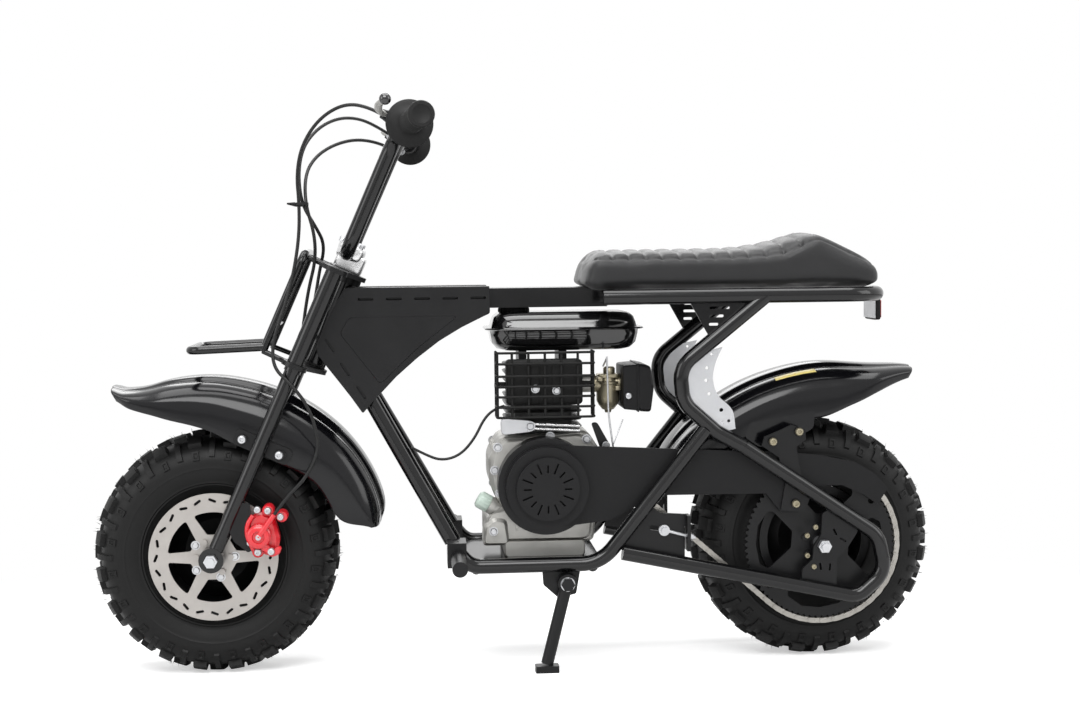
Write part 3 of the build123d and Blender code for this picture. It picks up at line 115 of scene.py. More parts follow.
def to_fork(points: ArrayLike) -> np.ndarray:
    """Rows of (u ahead of the steering axis, y, w up along it) as bike millimetres."""
    points = np.asarray(points, float)
    cos, sin = math.cos(RAKE), math.sin(RAKE)
    return points @ np.array([[cos, 0, sin], [0, 1, 0], [-sin, 0, cos]]) + [HEAD_X, 0.0, HEAD_Z]


@dataclass
class Surface:
    """Vertices and faces of three or four corners, as whole arrays."""

    points: np.ndarray
    quads: np.ndarray
    tris: np.ndarray

    @classmethod
    def grid(cls, points: np.ndarray, close_u: bool = False, close_v: bool = False,
             flip: bool = False) -> "Surface":
        """Quads between the neighbours of a rows x columns grid of points.

        Args:
            points: Array of shape (rows, columns, 3).
            close_u: Joins the last row to the first.
            close_v: Joins the last column to the first.
            flip: Turns the faces round.

        Returns:
            The surface.
        """
        rows, cols = points.shape[:2]
        index = np.arange(rows * cols).reshape(rows, cols)
        if close_u:
            index = np.concatenate([index, index[:1]])
        if close_v:
            index = np.concatenate([index, index[:, :1]], axis=1)
        quads = np.stack([
            index[:-1, :-1], index[1:, :-1], index[1:, 1:], index[:-1, 1:]], axis=-1).reshape(-1, 4)
        if flip:
            quads = quads[:, ::-1]
        return cls(points.reshape(-1, 3), quads, np.zeros((0, 3), int))

    @classmethod
    def rings(cls, points: np.ndarray) -> "Surface":
        """Rings of points joined up as a closed skin, its faces outwards."""
        return cls.grid(points, close_v=True).outward()

    @classmethod
    def capped(cls, points: np.ndarray) -> "Surface":
        """Rings of points as a closed skin, with the first and the last filled from their middle."""
        first, last = (
            row.mean(1, keepdims=True).repeat(points.shape[1], 1) for row in (points[:1], points[-1:]))
        return cls.rings(np.concatenate([first, points, last]))

    @classmethod
    def merged(cls, parts: list["Surface"]) -> "Surface":
        """All parts as one surface, each part's face numbers shifted by the points before it."""
        shifts = np.cumsum([0] + [len(part.points) for part in parts[:-1]])
        return cls(
            np.concatenate([part.points for part in parts]),
            np.concatenate([part.quads + shift for part, shift in zip(parts, shifts)]),
            np.concatenate([part.tris + shift for part, shift in zip(parts, shifts)]))

    def copies(self, moves: np.ndarray, places: np.ndarray) -> "Surface":
        """One copy for each 3 x 3 matrix and place: points times the matrix plus the place.

        Args:
            moves: Array (n, 3, 3), applied on the right.
            places: Array (n, 3).

        Returns:
            The merged copies.
        """
        count = len(moves)
        points = np.einsum("pj,njk->npk", self.points, moves) + places[:, None, :]
        shift = (np.arange(count) * len(self.points))[:, None, None]
        return Surface(
            points.reshape(-1, 3), (self.quads[None] + shift).reshape(-1, 4),
            (self.tris[None] + shift).reshape(-1, 3))

    def carried(self, points: np.ndarray) -> "Surface":
        """The same faces on moved points."""
        return Surface(points, self.quads, self.tris)

    def turned_over(self) -> "Surface":
        """The same points with every face turned round."""
        return Surface(self.points, self.quads[:, ::-1], self.tris[:, ::-1])

    def outward(self) -> "Surface":
        """Turns the faces so that the enclosed volume, a sum of triple products, is positive."""
        tris = np.concatenate([self.quads[:, [0, 1, 2]], self.quads[:, [0, 2, 3]], self.tris])
        a, b, c = (self.points[tris[:, i]] - self.points[0] for i in range(3))
        volume = np.einsum("ij,ij->i", a, np.cross(b, c)).sum()
        return self if volume > 0 else self.turned_over()

    def faced(self, towards: np.ndarray) -> "Surface":
        """Turns an open sheet's faces so that their summed normal looks towards a direction."""
        a, b, c, d = (self.points[self.quads[:, i]] for i in range(4))
        total = np.cross(c - a, d - b).sum(0)
        return self if total @ towards > 0 else self.turned_over()

    def mirrored(self) -> "Surface":
        """The surface's mirror image across the bike's middle plane, faces kept outwards."""
        return self.carried(self.points * [1, -1, 1]).turned_over()

    def paired(self) -> "Surface":
        """The surface and its mirror image as one."""
        return Surface.merged([self, self.mirrored()])


# Edges sharper than this many degrees stay sharp
SHARP = 35.0


@dataclass
class Workshop:
    """Makes Blender objects from surfaces and gives each its body, finish and replaced nodes."""

    space: BikeSpace

    def bare(self, name: str, surface: Surface) -> bpy.types.Object:
        """A mesh object of the surface, at the origin, with no finish or body yet."""
        mesh = bpy.data.meshes.new(name)
        points = self.space.to_row(surface.points).astype(np.float32)
        corners = np.concatenate([surface.quads.ravel(), surface.tris.ravel()]).astype(np.int32)
        sizes = np.concatenate([
            np.full(len(surface.quads), 4), np.full(len(surface.tris), 3)]).astype(np.int32)
        mesh.vertices.add(len(points))
        mesh.vertices.foreach_set("co", points.ravel())
        mesh.loops.add(len(corners))
        mesh.loops.foreach_set("vertex_index", corners)
        mesh.polygons.add(len(sizes))
        mesh.polygons.foreach_set(
            "loop_start", np.concatenate([[0], np.cumsum(sizes)[:-1]]).astype(np.int32))
        mesh.polygons.foreach_set("loop_total", sizes)
        mesh.update(calc_edges=True)
        mesh.validate()
        shape = bpy.data.objects.new(name, mesh)
        bpy.context.scene.collection.objects.link(shape)
        return shape

    @staticmethod
    def shaded(shape: bpy.types.Object, degrees: float) -> None:
        """Shades the faces smoothly and keeps the edges sharper than an angle."""
        shape.data.polygons.foreach_set("use_smooth", np.ones(len(shape.data.polygons), bool))
        shape.data.set_sharp_from_angle(angle=math.radians(degrees))

    def cut(self, shape: bpy.types.Object, tools: Surface) -> None:
        """Takes closed surfaces out of a piece, such as its slots and holes."""
        tool = self.bare(shape.name + " cutter", tools)
        cutter = shape.modifiers.new("cuts", "BOOLEAN")
        cutter.operation = "DIFFERENCE"
        cutter.solver = "EXACT"
        cutter.object = tool
        self.applied(shape)
        bpy.data.objects.remove(tool)
        self.shaded(shape, SHARP)

    def piece(self, name: str, surface: Surface, body: str, finish: "Finish",
              replaces: tuple[str, ...] = (), smooth: float | None = SHARP) -> bpy.types.Object:
        """A mesh object of the surface, at the origin, riding on its body.

        Args:
            name: The piece's name.
            surface: Points in bike millimetres.
            body: The CAD body that it rides on.
            finish: Its finish.
            replaces: CAD nodes that it stands for.
            smooth: Edges sharper than this many degrees stay sharp; None keeps the faces flat.

        Returns:
            The object.
        """
        shape = self.bare(name, surface)
        if smooth is not None:
            self.shaded(shape, smooth)
        self.dress(shape, finish)
        self.settle(shape, body, replaces)
        return shape

    def settle(self, shape: bpy.types.Object, body: str, replaces: tuple[str, ...] = ()) -> None:
        """Puts the piece on its body, hides the nodes that it stands for and logs it."""
        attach(shape, body)
        if replaces:
            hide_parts(*replaces)
        LOG.info("%s on %s", shape.name, body)

    @staticmethod
    def dress(shape: bpy.types.Object, finish: "Finish") -> None:
        """Gives the whole piece one finish."""
        shape.data.materials.clear()
        shape.data.materials.append(finish.material())

    @staticmethod
    def applied(shape: bpy.types.Object) -> None:
        """Puts the modifiers' result into the mesh and removes them."""
        graph = bpy.context.evaluated_depsgraph_get()
        mesh = bpy.data.meshes.new_from_object(shape.evaluated_get(graph))
        shape.modifiers.clear()
        shape.data = mesh

    def read_points(self, shape: bpy.types.Object) -> np.ndarray:
        """The mesh's points in bike millimetres."""
        points = np.empty(len(shape.data.vertices) * 3, np.float32)
        shape.data.vertices.foreach_get("co", points)
        return (points.reshape(-1, 3).astype(float) - self.space.origin) @ self.space.axes.T * 1000.0

    def read_normals(self, shape: bpy.types.Object) -> np.ndarray:
        """The mesh's point normals in the bike's frame."""
        normals = np.empty(len(shape.data.vertices) * 3, np.float32)
        shape.data.vertices.foreach_get("normal", normals)
        return normals.reshape(-1, 3).astype(float) @ self.space.axes.T

    def write_points(self, shape: bpy.types.Object, points: np.ndarray) -> None:
        """Puts points in bike millimetres back into the mesh."""
        shape.data.vertices.foreach_set("co", self.space.to_row(points).astype(np.float32).ravel())
        shape.data.update()

    @staticmethod
    def bevelled(shape: bpy.types.Object, width_mm: float) -> None:
        """Rounds the piece's sharp edges by a width in millimetres."""
        bevel = shape.modifiers.new("edge rounding", "BEVEL")
        bevel.width = width_mm / 1000.0
        bevel.segments = 2
        bevel.limit_method = "ANGLE"
        bevel.angle_limit = math.radians(32)
        bevel.harden_normals = True

    @staticmethod
    def thickened(shape: bpy.types.Object, wall_mm: float) -> None:
        """Gives a sheet its wall thickness, inwards from its outer face."""
        wall = shape.modifiers.new("wall", "SOLIDIFY")
        wall.thickness = wall_mm / 1000.0
        wall.offset = -1.0
        wall.use_even_offset = True


def full_turn(steps: int) -> np.ndarray:
    """Even angles round a circle, in radians."""
    return np.linspace(0, 2 * np.pi, steps, endpoint=False)


def units(vectors: np.ndarray) -> np.ndarray:
    """Each row divided by its length."""
    return vectors / np.linalg.norm(vectors, axis=1, keepdims=True)


def signed_power(values: np.ndarray, power: float) -> np.ndarray:
    """Each value's size raised to a power, its sign kept."""
    return np.sign(values) * np.abs(values) ** power


def smooth_path(points: ArrayLike, samples: int) -> np.ndarray:
    """A Catmull-Rom curve: each span is the cubic whose end slopes follow its neighbours.

    Args:
        points: Array (n, d).
        samples: Points in the result.

    Returns:
        Array (samples, d).
    """
    points = np.asarray(points, float)
    ring = np.concatenate([2 * points[:1] - points[1:2], points, 2 * points[-1:] - points[-2:-1]])
    spans = len(points) - 1
    place = np.linspace(0, spans, samples)
    span = np.minimum(place.astype(int), spans - 1)
    t = (place - span)[:, None]
    a, b, c, d = ring[span], ring[span + 1], ring[span + 2], ring[span + 3]
    return 0.5 * (
        2 * b + (c - a) * t + (2 * a - 5 * b + 4 * c - d) * t ** 2 + (3 * b - a - 3 * c + d) * t ** 3)


def read_curve(points: tuple, share: np.ndarray, samples: int) -> list[np.ndarray]:
    """Each column of the smooth curve through the points, at a share from 0 to 1 of its samples."""
    columns = smooth_path(points, samples).T
    return [np.interp(share * (samples - 1), np.arange(samples), column) for column in columns]


def smooth_outline(points: tuple, rounding: float) -> np.ndarray:
    """A closed outline whose corners are cut by quadratic curves, from the rounding distance on each side.

    Args:
        points: The corners.
        rounding: How far from the corner the curve starts, at most 0.45 of each side.

    Returns:
        Array (5 per corner, 2).
    """
    here = np.asarray(points, float)
    before, after = np.roll(here, 1, 0) - here, np.roll(here, -1, 0) - here
    size_before, size_after = (np.linalg.norm(v, axis=1, keepdims=True) for v in (before, after))
    start = here + before / size_before * np.minimum(rounding, 0.45 * size_before)
    end = here + after / size_after * np.minimum(rounding, 0.45 * size_after)
    t = np.linspace(0, 1, 5)[None, :, None]
    curve = (1 - t) ** 2 * start[:, None] + 2 * t * (1 - t) * here[:, None] + t ** 2 * end[:, None]
    return curve.reshape(-1, 2)


def path_frames(path: np.ndarray, up: np.ndarray) -> tuple[np.ndarray, np.ndarray]:
    """Two unit directions square to a path: across it and towards the given up direction.

    Args:
        path: Array (n, 3).
        up: The rough up direction.

    Returns:
        Arrays (n, 3) of the side and the up directions.
    """
    along = units(np.gradient(path, axis=0))
    side = units(np.cross(along, up))
    return side, np.cross(side, along)


def round_bar(path: ArrayLike, radius: ArrayLike, steps: int = 16,
              up: tuple[float, float, float] = (0.12, 0.25, 0.96)) -> Surface:
    """A circle carried along a path, each end closed by a point."""
    path = np.asarray(path, float)
    side, rise = path_frames(path, np.array(up))
    turn = full_turn(steps)
    radius = np.broadcast_to(np.asarray(radius, float), (len(path),))[:, None, None]
    ring = side[:, None, :] * np.cos(turn)[None, :, None] + rise[:, None, :] * np.sin(turn)[None, :, None]
    tube = path[:, None, :] + radius * ring
    start = np.broadcast_to(path[0], (1, steps, 3))
    end = np.broadcast_to(path[-1], (1, steps, 3))
    return Surface.rings(np.concatenate([start, tube, end]))


def turned(profile: ArrayLike, centre: tuple[float, float, float], steps: int = 48,
           along: tuple[float, float, float] = (0, 1, 0)) -> Surface:
    """A solid of revolution: each (radius, distance) of the profile goes round the axis through the centre.

    Args:
        profile: Array (n, 2) of radius and distance along the axis.
        centre: A point on the axis, in bike millimetres.
        steps: Points round the axis.
        along: The axis direction.

    Returns:
        The surface.
    """
    profile = np.asarray(profile, float)
    axis = np.array(along, float) / np.linalg.norm(along)
    helper = np.array([0.0, 0.0, 1.0]) if abs(axis[2]) < 0.9 else np.array([1.0, 0.0, 0.0])
    first = np.cross(helper, axis)
    first /= np.linalg.norm(first)
    second = np.cross(axis, first)
    turn = full_turn(steps)
    ring = first * np.cos(turn)[:, None] + second * np.sin(turn)[:, None]
    radius, distance = profile[:, 0, None, None], profile[:, 1, None, None]
    return Surface.rings(np.array(centre) + distance * axis + radius * ring[None])


def pin(radius: float, half: float, centre: tuple[float, float, float], steps: int) -> Surface:
    """A plain cylinder along Y that reaches as far on each side of its centre."""
    return turned([(0, -half), (radius, -half), (radius, half), (0, half)], centre, steps)


def oval(steps: int, run: float, shift: float, rise: float) -> np.ndarray:
    """A long outline with a half ellipse of run by rise at each end, the ends shifted apart."""
    turn = full_turn(steps)
    return np.column_stack([
        run * np.cos(turn) + shift * np.sign(np.cos(turn).round(6)), rise * np.sin(turn)])


def prism(outline: ArrayLike, low: float, high: float, inset: float = 0.0) -> Surface:
    """A side-view outline (X, Z) carried from Y low to Y high, with both faces closed from their middle.

    Args:
        outline: Array (n, 2), anticlockwise in X and Z.
        low: The inner Y.
        high: The outer Y.
        inset: How far the outer face shrinks towards its middle.

    Returns:
        The surface.
    """
    outline = np.asarray(outline, float)
    middle = outline.mean(0)
    reach = np.linalg.norm(outline - middle, axis=1, keepdims=True)
    small = middle + (outline - middle) * (1 - inset / reach)
    rings = [
        (np.broadcast_to(middle, outline.shape), low), (outline, low), (outline, high - inset),
        (small, high), (np.broadcast_to(middle, outline.shape), high)]
    points = np.stack([
        np.column_stack([ring[:, 0], np.full(len(ring), y), ring[:, 1]]) for ring, y in rings])
    return Surface.rings(points)


def plate(corners: tuple, rounding: float, low: float, high: float, inset: float = 0.0) -> Surface:
    """A prism whose corners in side view are rounded."""
    return prism(smooth_outline(corners, rounding), low, high, inset)


def hexagon_bolt(x: float, y: float, z: float, radius: float, height: float, along: float = 1.0) -> Surface:
    """A hexagon head with a chamfer and a round washer under it, standing along +Y or -Y."""
    head = turned(
        [(0, 0), (radius * 1.35, 0), (radius * 1.35, 1.2), (radius * 1.02, 1.2), (radius * 1.02, 1.3)],
        (x, y, z), 20, (0, along, 0))
    nut = turned(
        [(radius, 1.2), (radius, height - 0.8), (radius * 0.86, height), (0, height)], (x, y, z), 6,
        (0, along, 0))
    return Surface.merged([head, nut])


def dome_bolt(x: float, y: float, z: float, radius: float, height: float) -> Surface:
    """A button head with a round socket, standing along +Y."""
    profile = [
        (radius, 0), (radius, height * 0.3), (radius * 0.8, height * 0.85), (radius * 0.5, height),
        (radius * 0.45, height), (radius * 0.42, height * 0.4), (0, height * 0.4)]
    return turned(profile, (x, y, z), 24)


# Finishes


def linear(hex_colour: str) -> tuple[float, float, float, float]:
    """An sRGB hex value as linear red, green, blue and alpha."""
    parts = [int(hex_colour[i:i + 2], 16) / 255.0 for i in (1, 3, 5)]
    red, green, blue = (c / 12.92 if c <= 0.04045 else ((c + 0.055) / 1.055) ** 2.4 for c in parts)
    return red, green, blue, 1.0


def add_node(tree: bpy.types.NodeTree, kind: str, settings: dict | None = None, inputs: dict | None = None,
             links: dict | None = None) -> bpy.types.Node:
    """Adds a node with its settings, input values and incoming links.

    Args:
        tree: The node tree.
        kind: The node's type name.
        settings: Attribute values.
        inputs: Values for inputs, by name or number.
        links: Output sockets that feed inputs, by name or number.

    Returns:
        The node.
    """
    node = tree.nodes.new(kind)
    for key, value in (settings or {}).items():
        setattr(node, key, value)
    for key, value in (inputs or {}).items():
        node.inputs[key].default_value = value
    for key, socket in (links or {}).items():
        tree.links.new(socket, node.inputs[key])
    return node


# Refractive index of every finish
PLASTIC_IOR = 1.5


class Grain(Enum):
    """How a surface was made, which gives the shape of its fine relief."""

    ORANGE_PEEL = "powder coat flowed out in the oven"
    MOULDED = "plastic from a spark-eroded mould"
    SAND_CAST = "metal cast in sand or a blasted die"
    HIDE = "vinyl with an embossed hide grain"
    BRUSHED = "metal drawn under an abrasive belt"
    RUBBER = "rubber cured in a steel mould"


@dataclass(frozen=True)
class Finish:
    """One material: colour, gloss and relief, with relief_mm for the pattern's real size."""

    name: str
    colour: str
    shade: str
    metallic: float = 0.0
    roughness: float = 0.5
    spread: float = 0.1
    grain: Grain = Grain.MOULDED
    relief_mm: float = 1.0
    depth_mm: float = 0.05
    coat: float = 0.0
    sheen: float = 0.0
    mirror: float = 0.5

    @cache
    def material(self) -> bpy.types.Material:
        """The material, built once: slow noise mixes shades and roughness, and the grain bumps it."""
        material = bpy.data.materials.new(self.name)
        material.use_nodes = True
        tree = material.node_tree
        tree.nodes.clear()
        place = add_node(tree, "ShaderNodeTexCoord")
        cloud = add_node(
            tree, "ShaderNodeTexNoise", inputs={"Scale": 26.0, "Detail": 5.0, "Roughness": 0.62},
            links={"Vector": place.outputs["Object"]})
        colour = add_node(
            tree, "ShaderNodeMix", {"data_type": "RGBA"}, {6: linear(self.colour), 7: linear(self.shade)},
            {0: cloud.outputs["Fac"]})
        gloss = add_node(
            tree, "ShaderNodeMapRange",
            inputs={
                "From Min": 0.3, "From Max": 0.7, "To Min": max(self.roughness - self.spread / 2, 0.02),
                "To Max": self.roughness + self.spread / 2}, links={"Value": cloud.outputs["Fac"]})
        height = self.relief(tree, place)
        bump = add_node(
            tree, "ShaderNodeBump", inputs={"Strength": 1.0, "Distance": self.depth_mm / 1000.0},
            links={"Height": height})
        shader = add_node(
            tree, "ShaderNodeBsdfPrincipled",
            inputs={
                "Metallic": self.metallic, "IOR": PLASTIC_IOR, "Coat Weight": self.coat,
                "Coat Roughness": 0.08, "Specular IOR Level": self.mirror, "Sheen Weight": self.sheen,
                "Sheen Roughness": 0.5},
            links={
                "Base Color": colour.outputs[2], "Roughness": gloss.outputs["Result"],
                "Normal": bump.outputs["Normal"]})
        add_node(tree, "ShaderNodeOutputMaterial", links={"Surface": shader.outputs["BSDF"]})
        return material

    def relief(self, tree: bpy.types.NodeTree, place: bpy.types.Node) -> bpy.types.NodeSocket:
        """The height pattern of the grain, at one cell per relief_mm."""
        scale = 1000.0 / self.relief_mm
        if self.grain is Grain.HIDE:
            cells = add_node(
                tree, "ShaderNodeTexVoronoi", {"feature": "DISTANCE_TO_EDGE"}, {"Scale": scale},
                {"Vector": place.outputs["Object"]})
            return add_node(
                tree, "ShaderNodeMapRange", inputs={"From Max": 0.3},
                links={"Value": cells.outputs["Distance"]}).outputs["Result"]
        if self.grain is Grain.BRUSHED:
            drawn = add_node(
                tree, "ShaderNodeMapping", inputs={"Scale": (0.06, 1.0, 1.0)},
                links={"Vector": place.outputs["Object"]})
            return add_node(
                tree, "ShaderNodeTexNoise", inputs={"Scale": scale, "Detail": 3.0},
                links={"Vector": drawn.outputs["Vector"]}).outputs["Fac"]
        detail = {
            Grain.ORANGE_PEEL: 0.0, Grain.MOULDED: 2.0, Grain.SAND_CAST: 6.0,
            Grain.RUBBER: 4.0}[self.grain]
        return add_node(
            tree, "ShaderNodeTexNoise", inputs={"Scale": scale, "Detail": detail, "Roughness": 0.6},
            links={"Vector": place.outputs["Object"]}).outputs["Fac"]


# Powder-coated steel tube: deep black with a clear, slightly wavy gloss
POWDER_COAT = Finish(
    "powder coated steel", "#09090a", "#0e0e0f", roughness=0.15, spread=0.06, grain=Grain.ORANGE_PEEL,
    relief_mm=3.0, depth_mm=0.012, coat=0.2, mirror=0.32)
# Painted pressed steel: satin black that greys where light grazes it
SATIN_STEEL = Finish(
    "satin painted steel", "#0e0e0f", "#131314", roughness=0.36, spread=0.08, grain=Grain.ORANGE_PEEL,
    relief_mm=1.6, depth_mm=0.03, mirror=0.26)
# Cured tyre rubber: dull charcoal with a fine mould texture
TYRE_RUBBER = Finish(
    "moulded tyre rubber", "#0b0b0b", "#121212", roughness=0.52, spread=0.18, grain=Grain.RUBBER,
    relief_mm=1.2, depth_mm=0.12, mirror=0.22)
# Grip rubber: softer and matter than the tyres
GRIP_RUBBER = Finish(
    "grip rubber", "#0f0f0f", "#151515", roughness=0.6, spread=0.1, grain=Grain.RUBBER, relief_mm=0.8,
    depth_mm=0.05, mirror=0.25)
# Injection-moulded fender: piano gloss that mirrors the studio
GLOSS_PLASTIC = Finish(
    "gloss moulded fender", "#08080a", "#0b0b0e", roughness=0.16, spread=0.04, grain=Grain.MOULDED,
    relief_mm=18.0, depth_mm=0.05, coat=0.12, mirror=0.28)
# Matt moulded covers: fine spark-eroded texture
MATT_PLASTIC = Finish(
    "matt moulded cover", "#101011", "#161617", roughness=0.48, spread=0.1, grain=Grain.MOULDED,
    relief_mm=0.9, depth_mm=0.05, mirror=0.2)
# Vinyl seat cover: charcoal, with an embossed hide grain and a soft sheen
SEAT_VINYL = Finish(
    "seat vinyl", "#1a1a1b", "#202021", roughness=0.44, spread=0.1, grain=Grain.HIDE, relief_mm=1.7,
    depth_mm=0.06, sheen=0.12, mirror=0.32)
# Cast aluminium of the crankcase: light grey with a blasted texture
CAST_ALLOY = Finish(
    "cast aluminium", "#b9b8b4", "#9f9e9a", metallic=0.85, roughness=0.5, spread=0.16, grain=Grain.SAND_CAST,
    relief_mm=1.4, depth_mm=0.12)
# Cylinder casting under heat-proof black: coarse sand texture
BLACK_CAST = Finish(
    "blackened casting", "#1c1c1c", "#2a2a29", metallic=0.3, roughness=0.5, spread=0.16,
    grain=Grain.SAND_CAST, relief_mm=1.6, depth_mm=0.15)
# Polished bar clamp: bright cast aluminium
BRIGHT_ALLOY = Finish(
    "polished aluminium", "#e6e6e6", "#cfcfd0", metallic=0.9, roughness=0.26, spread=0.12,
    grain=Grain.SAND_CAST, relief_mm=4.0, depth_mm=0.05)
# Brushed stainless disc: fine lines drawn one way
BRUSHED_DISC = Finish(
    "brushed stainless steel", "#b2aeaa", "#9d9995", metallic=0.85, roughness=0.42, spread=0.1,
    grain=Grain.BRUSHED, relief_mm=1.2, depth_mm=0.02)
# Zinc plate: neutral silver, a little uneven
ZINC = Finish(
    "zinc plated steel", "#cfd0d2", "#b4b5b8", metallic=0.9, roughness=0.34, spread=0.16,
    grain=Grain.SAND_CAST, relief_mm=2.5, depth_mm=0.03)
# Red enamel of the caliper
RED_ENAMEL = Finish(
    "red enamel", "#c3121f", "#d4202c", roughness=0.3, spread=0.1, grain=Grain.ORANGE_PEEL, relief_mm=2.0,
    depth_mm=0.05, coat=0.5)
# Enamelled tank: black gloss over pressed steel
TANK_ENAMEL = Finish(
    "black enamel", "#09090a", "#0d0d0e", roughness=0.13, spread=0.05, grain=Grain.ORANGE_PEEL,
    relief_mm=6.0, depth_mm=0.03, coat=0.7)
# Heat-proof silencer paint: dead matt black
HEAT_PAINT = Finish(
    "heat proof paint", "#0d0d0d", "#131312", roughness=0.6, spread=0.15, grain=Grain.SAND_CAST,
    relief_mm=1.0, depth_mm=0.05, mirror=0.2)
# Die-cast carburettor with a chromate tint
CARB_ALLOY = Finish(
    "chromated die casting", "#a49c85", "#8b8471", metallic=0.85, roughness=0.38, spread=0.16,
    grain=Grain.SAND_CAST, relief_mm=1.6, depth_mm=0.06)
# Plated roller chain
CHAIN_STEEL = Finish(
    "plated chain steel", "#b4b1ab", "#8a8782", metallic=0.85, roughness=0.36, spread=0.16,
    grain=Grain.SAND_CAST, relief_mm=1.5, depth_mm=0.03)
# Red reflector moulding
RED_REFLECTOR = Finish(
    "red reflector", "#a8141a", "#c21c22", roughness=0.18, spread=0.06, grain=Grain.HIDE, relief_mm=3.0,
    depth_mm=0.2, coat=0.6)
# Yellow reflective strip
YELLOW_REFLECTOR = Finish(
    "yellow reflector", "#dcc768", "#e6d588", roughness=0.3, spread=0.06, grain=Grain.HIDE, relief_mm=2.4,
    depth_mm=0.1, coat=0.4)
# Pale green oil cap
PALE_PLASTIC = Finish(
    "pale green moulding", "#c3d2c8", "#b4c5ba", roughness=0.4, spread=0.1, grain=Grain.MOULDED,
    relief_mm=2.0, depth_mm=0.05)
# Black cable sheath
CABLE_SHEATH = Finish(
    "cable sheath", "#121212", "#191919", roughness=0.38, spread=0.08, grain=Grain.MOULDED, relief_mm=1.0,
    depth_mm=0.02, mirror=0.3)

# Which finish each of the record's slots gets
SLOT_FINISHES: dict[str, Finish] = {
    "gloss_black_steel": POWDER_COAT,
    "satin_black_steel": SATIN_STEEL,
    "tyre_rubber": TYRE_RUBBER,
    "wheel_black": SATIN_STEEL,
    "disc_steel": BRUSHED_DISC,
    "zinc_steel": ZINC,
    "grip_rubber": GRIP_RUBBER,
    "fender_plastic": GLOSS_PLASTIC,
    "cast_alloy": CAST_ALLOY,
    "caliper_red": RED_ENAMEL,
    "seat_vinyl": SEAT_VINYL,
    "tank_black": TANK_ENAMEL,
    "silencer_black": HEAT_PAINT,
    "carburettor_alloy": CARB_ALLOY,
    "airbox_plastic": MATT_PLASTIC,
    "cover_plastic": MATT_PLASTIC,
    "chain_steel": CHAIN_STEEL,
    "reflector_red": RED_REFLECTOR,
    "plug_plastic": PALE_PLASTIC,
    "cable_black": CABLE_SHEATH,
}
# Nodes whose finish differs from their slot's
NODE_FINISHES: dict[str, Finish] = {"bar_clamp": BRIGHT_ALLOY, "brake_levers": SATIN_STEEL}


def dress_nodes(frame: dict) -> None:
    """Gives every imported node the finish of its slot."""
    for row in frame["record"]["subparts"]:
        finish = NODE_FINISHES.get(row["node"], SLOT_FINISHES[row["material_slot"]])
        Workshop.dress(frame["nodes"][row["node"]], finish)


# Pieces


# Depth of a cap's scallops as a share of its radius
SCALLOP = 0.022


def scalloped(profile: np.ndarray, waves: int, rim: float, turn: np.ndarray) -> np.ndarray:
    """Radii round a turned profile, one row a point, with waves wherever it is wider than the rim."""
    radius = profile[:, :1]
    return radius * (1 + SCALLOP * np.cos(waves * turn)[None] * (radius > rim))


def spins(angles: np.ndarray) -> np.ndarray:
    """Matrices that turn row points about Y by each angle, from +X towards +Z."""
    cos, sin, zero, one = np.cos(angles), np.sin(angles), np.zeros(len(angles)), np.ones(len(angles))
    return np.stack([
        np.stack([cos, zero, sin], -1), np.stack([zero, one, zero], -1),
        np.stack([-sin, zero, cos], -1)], -2)


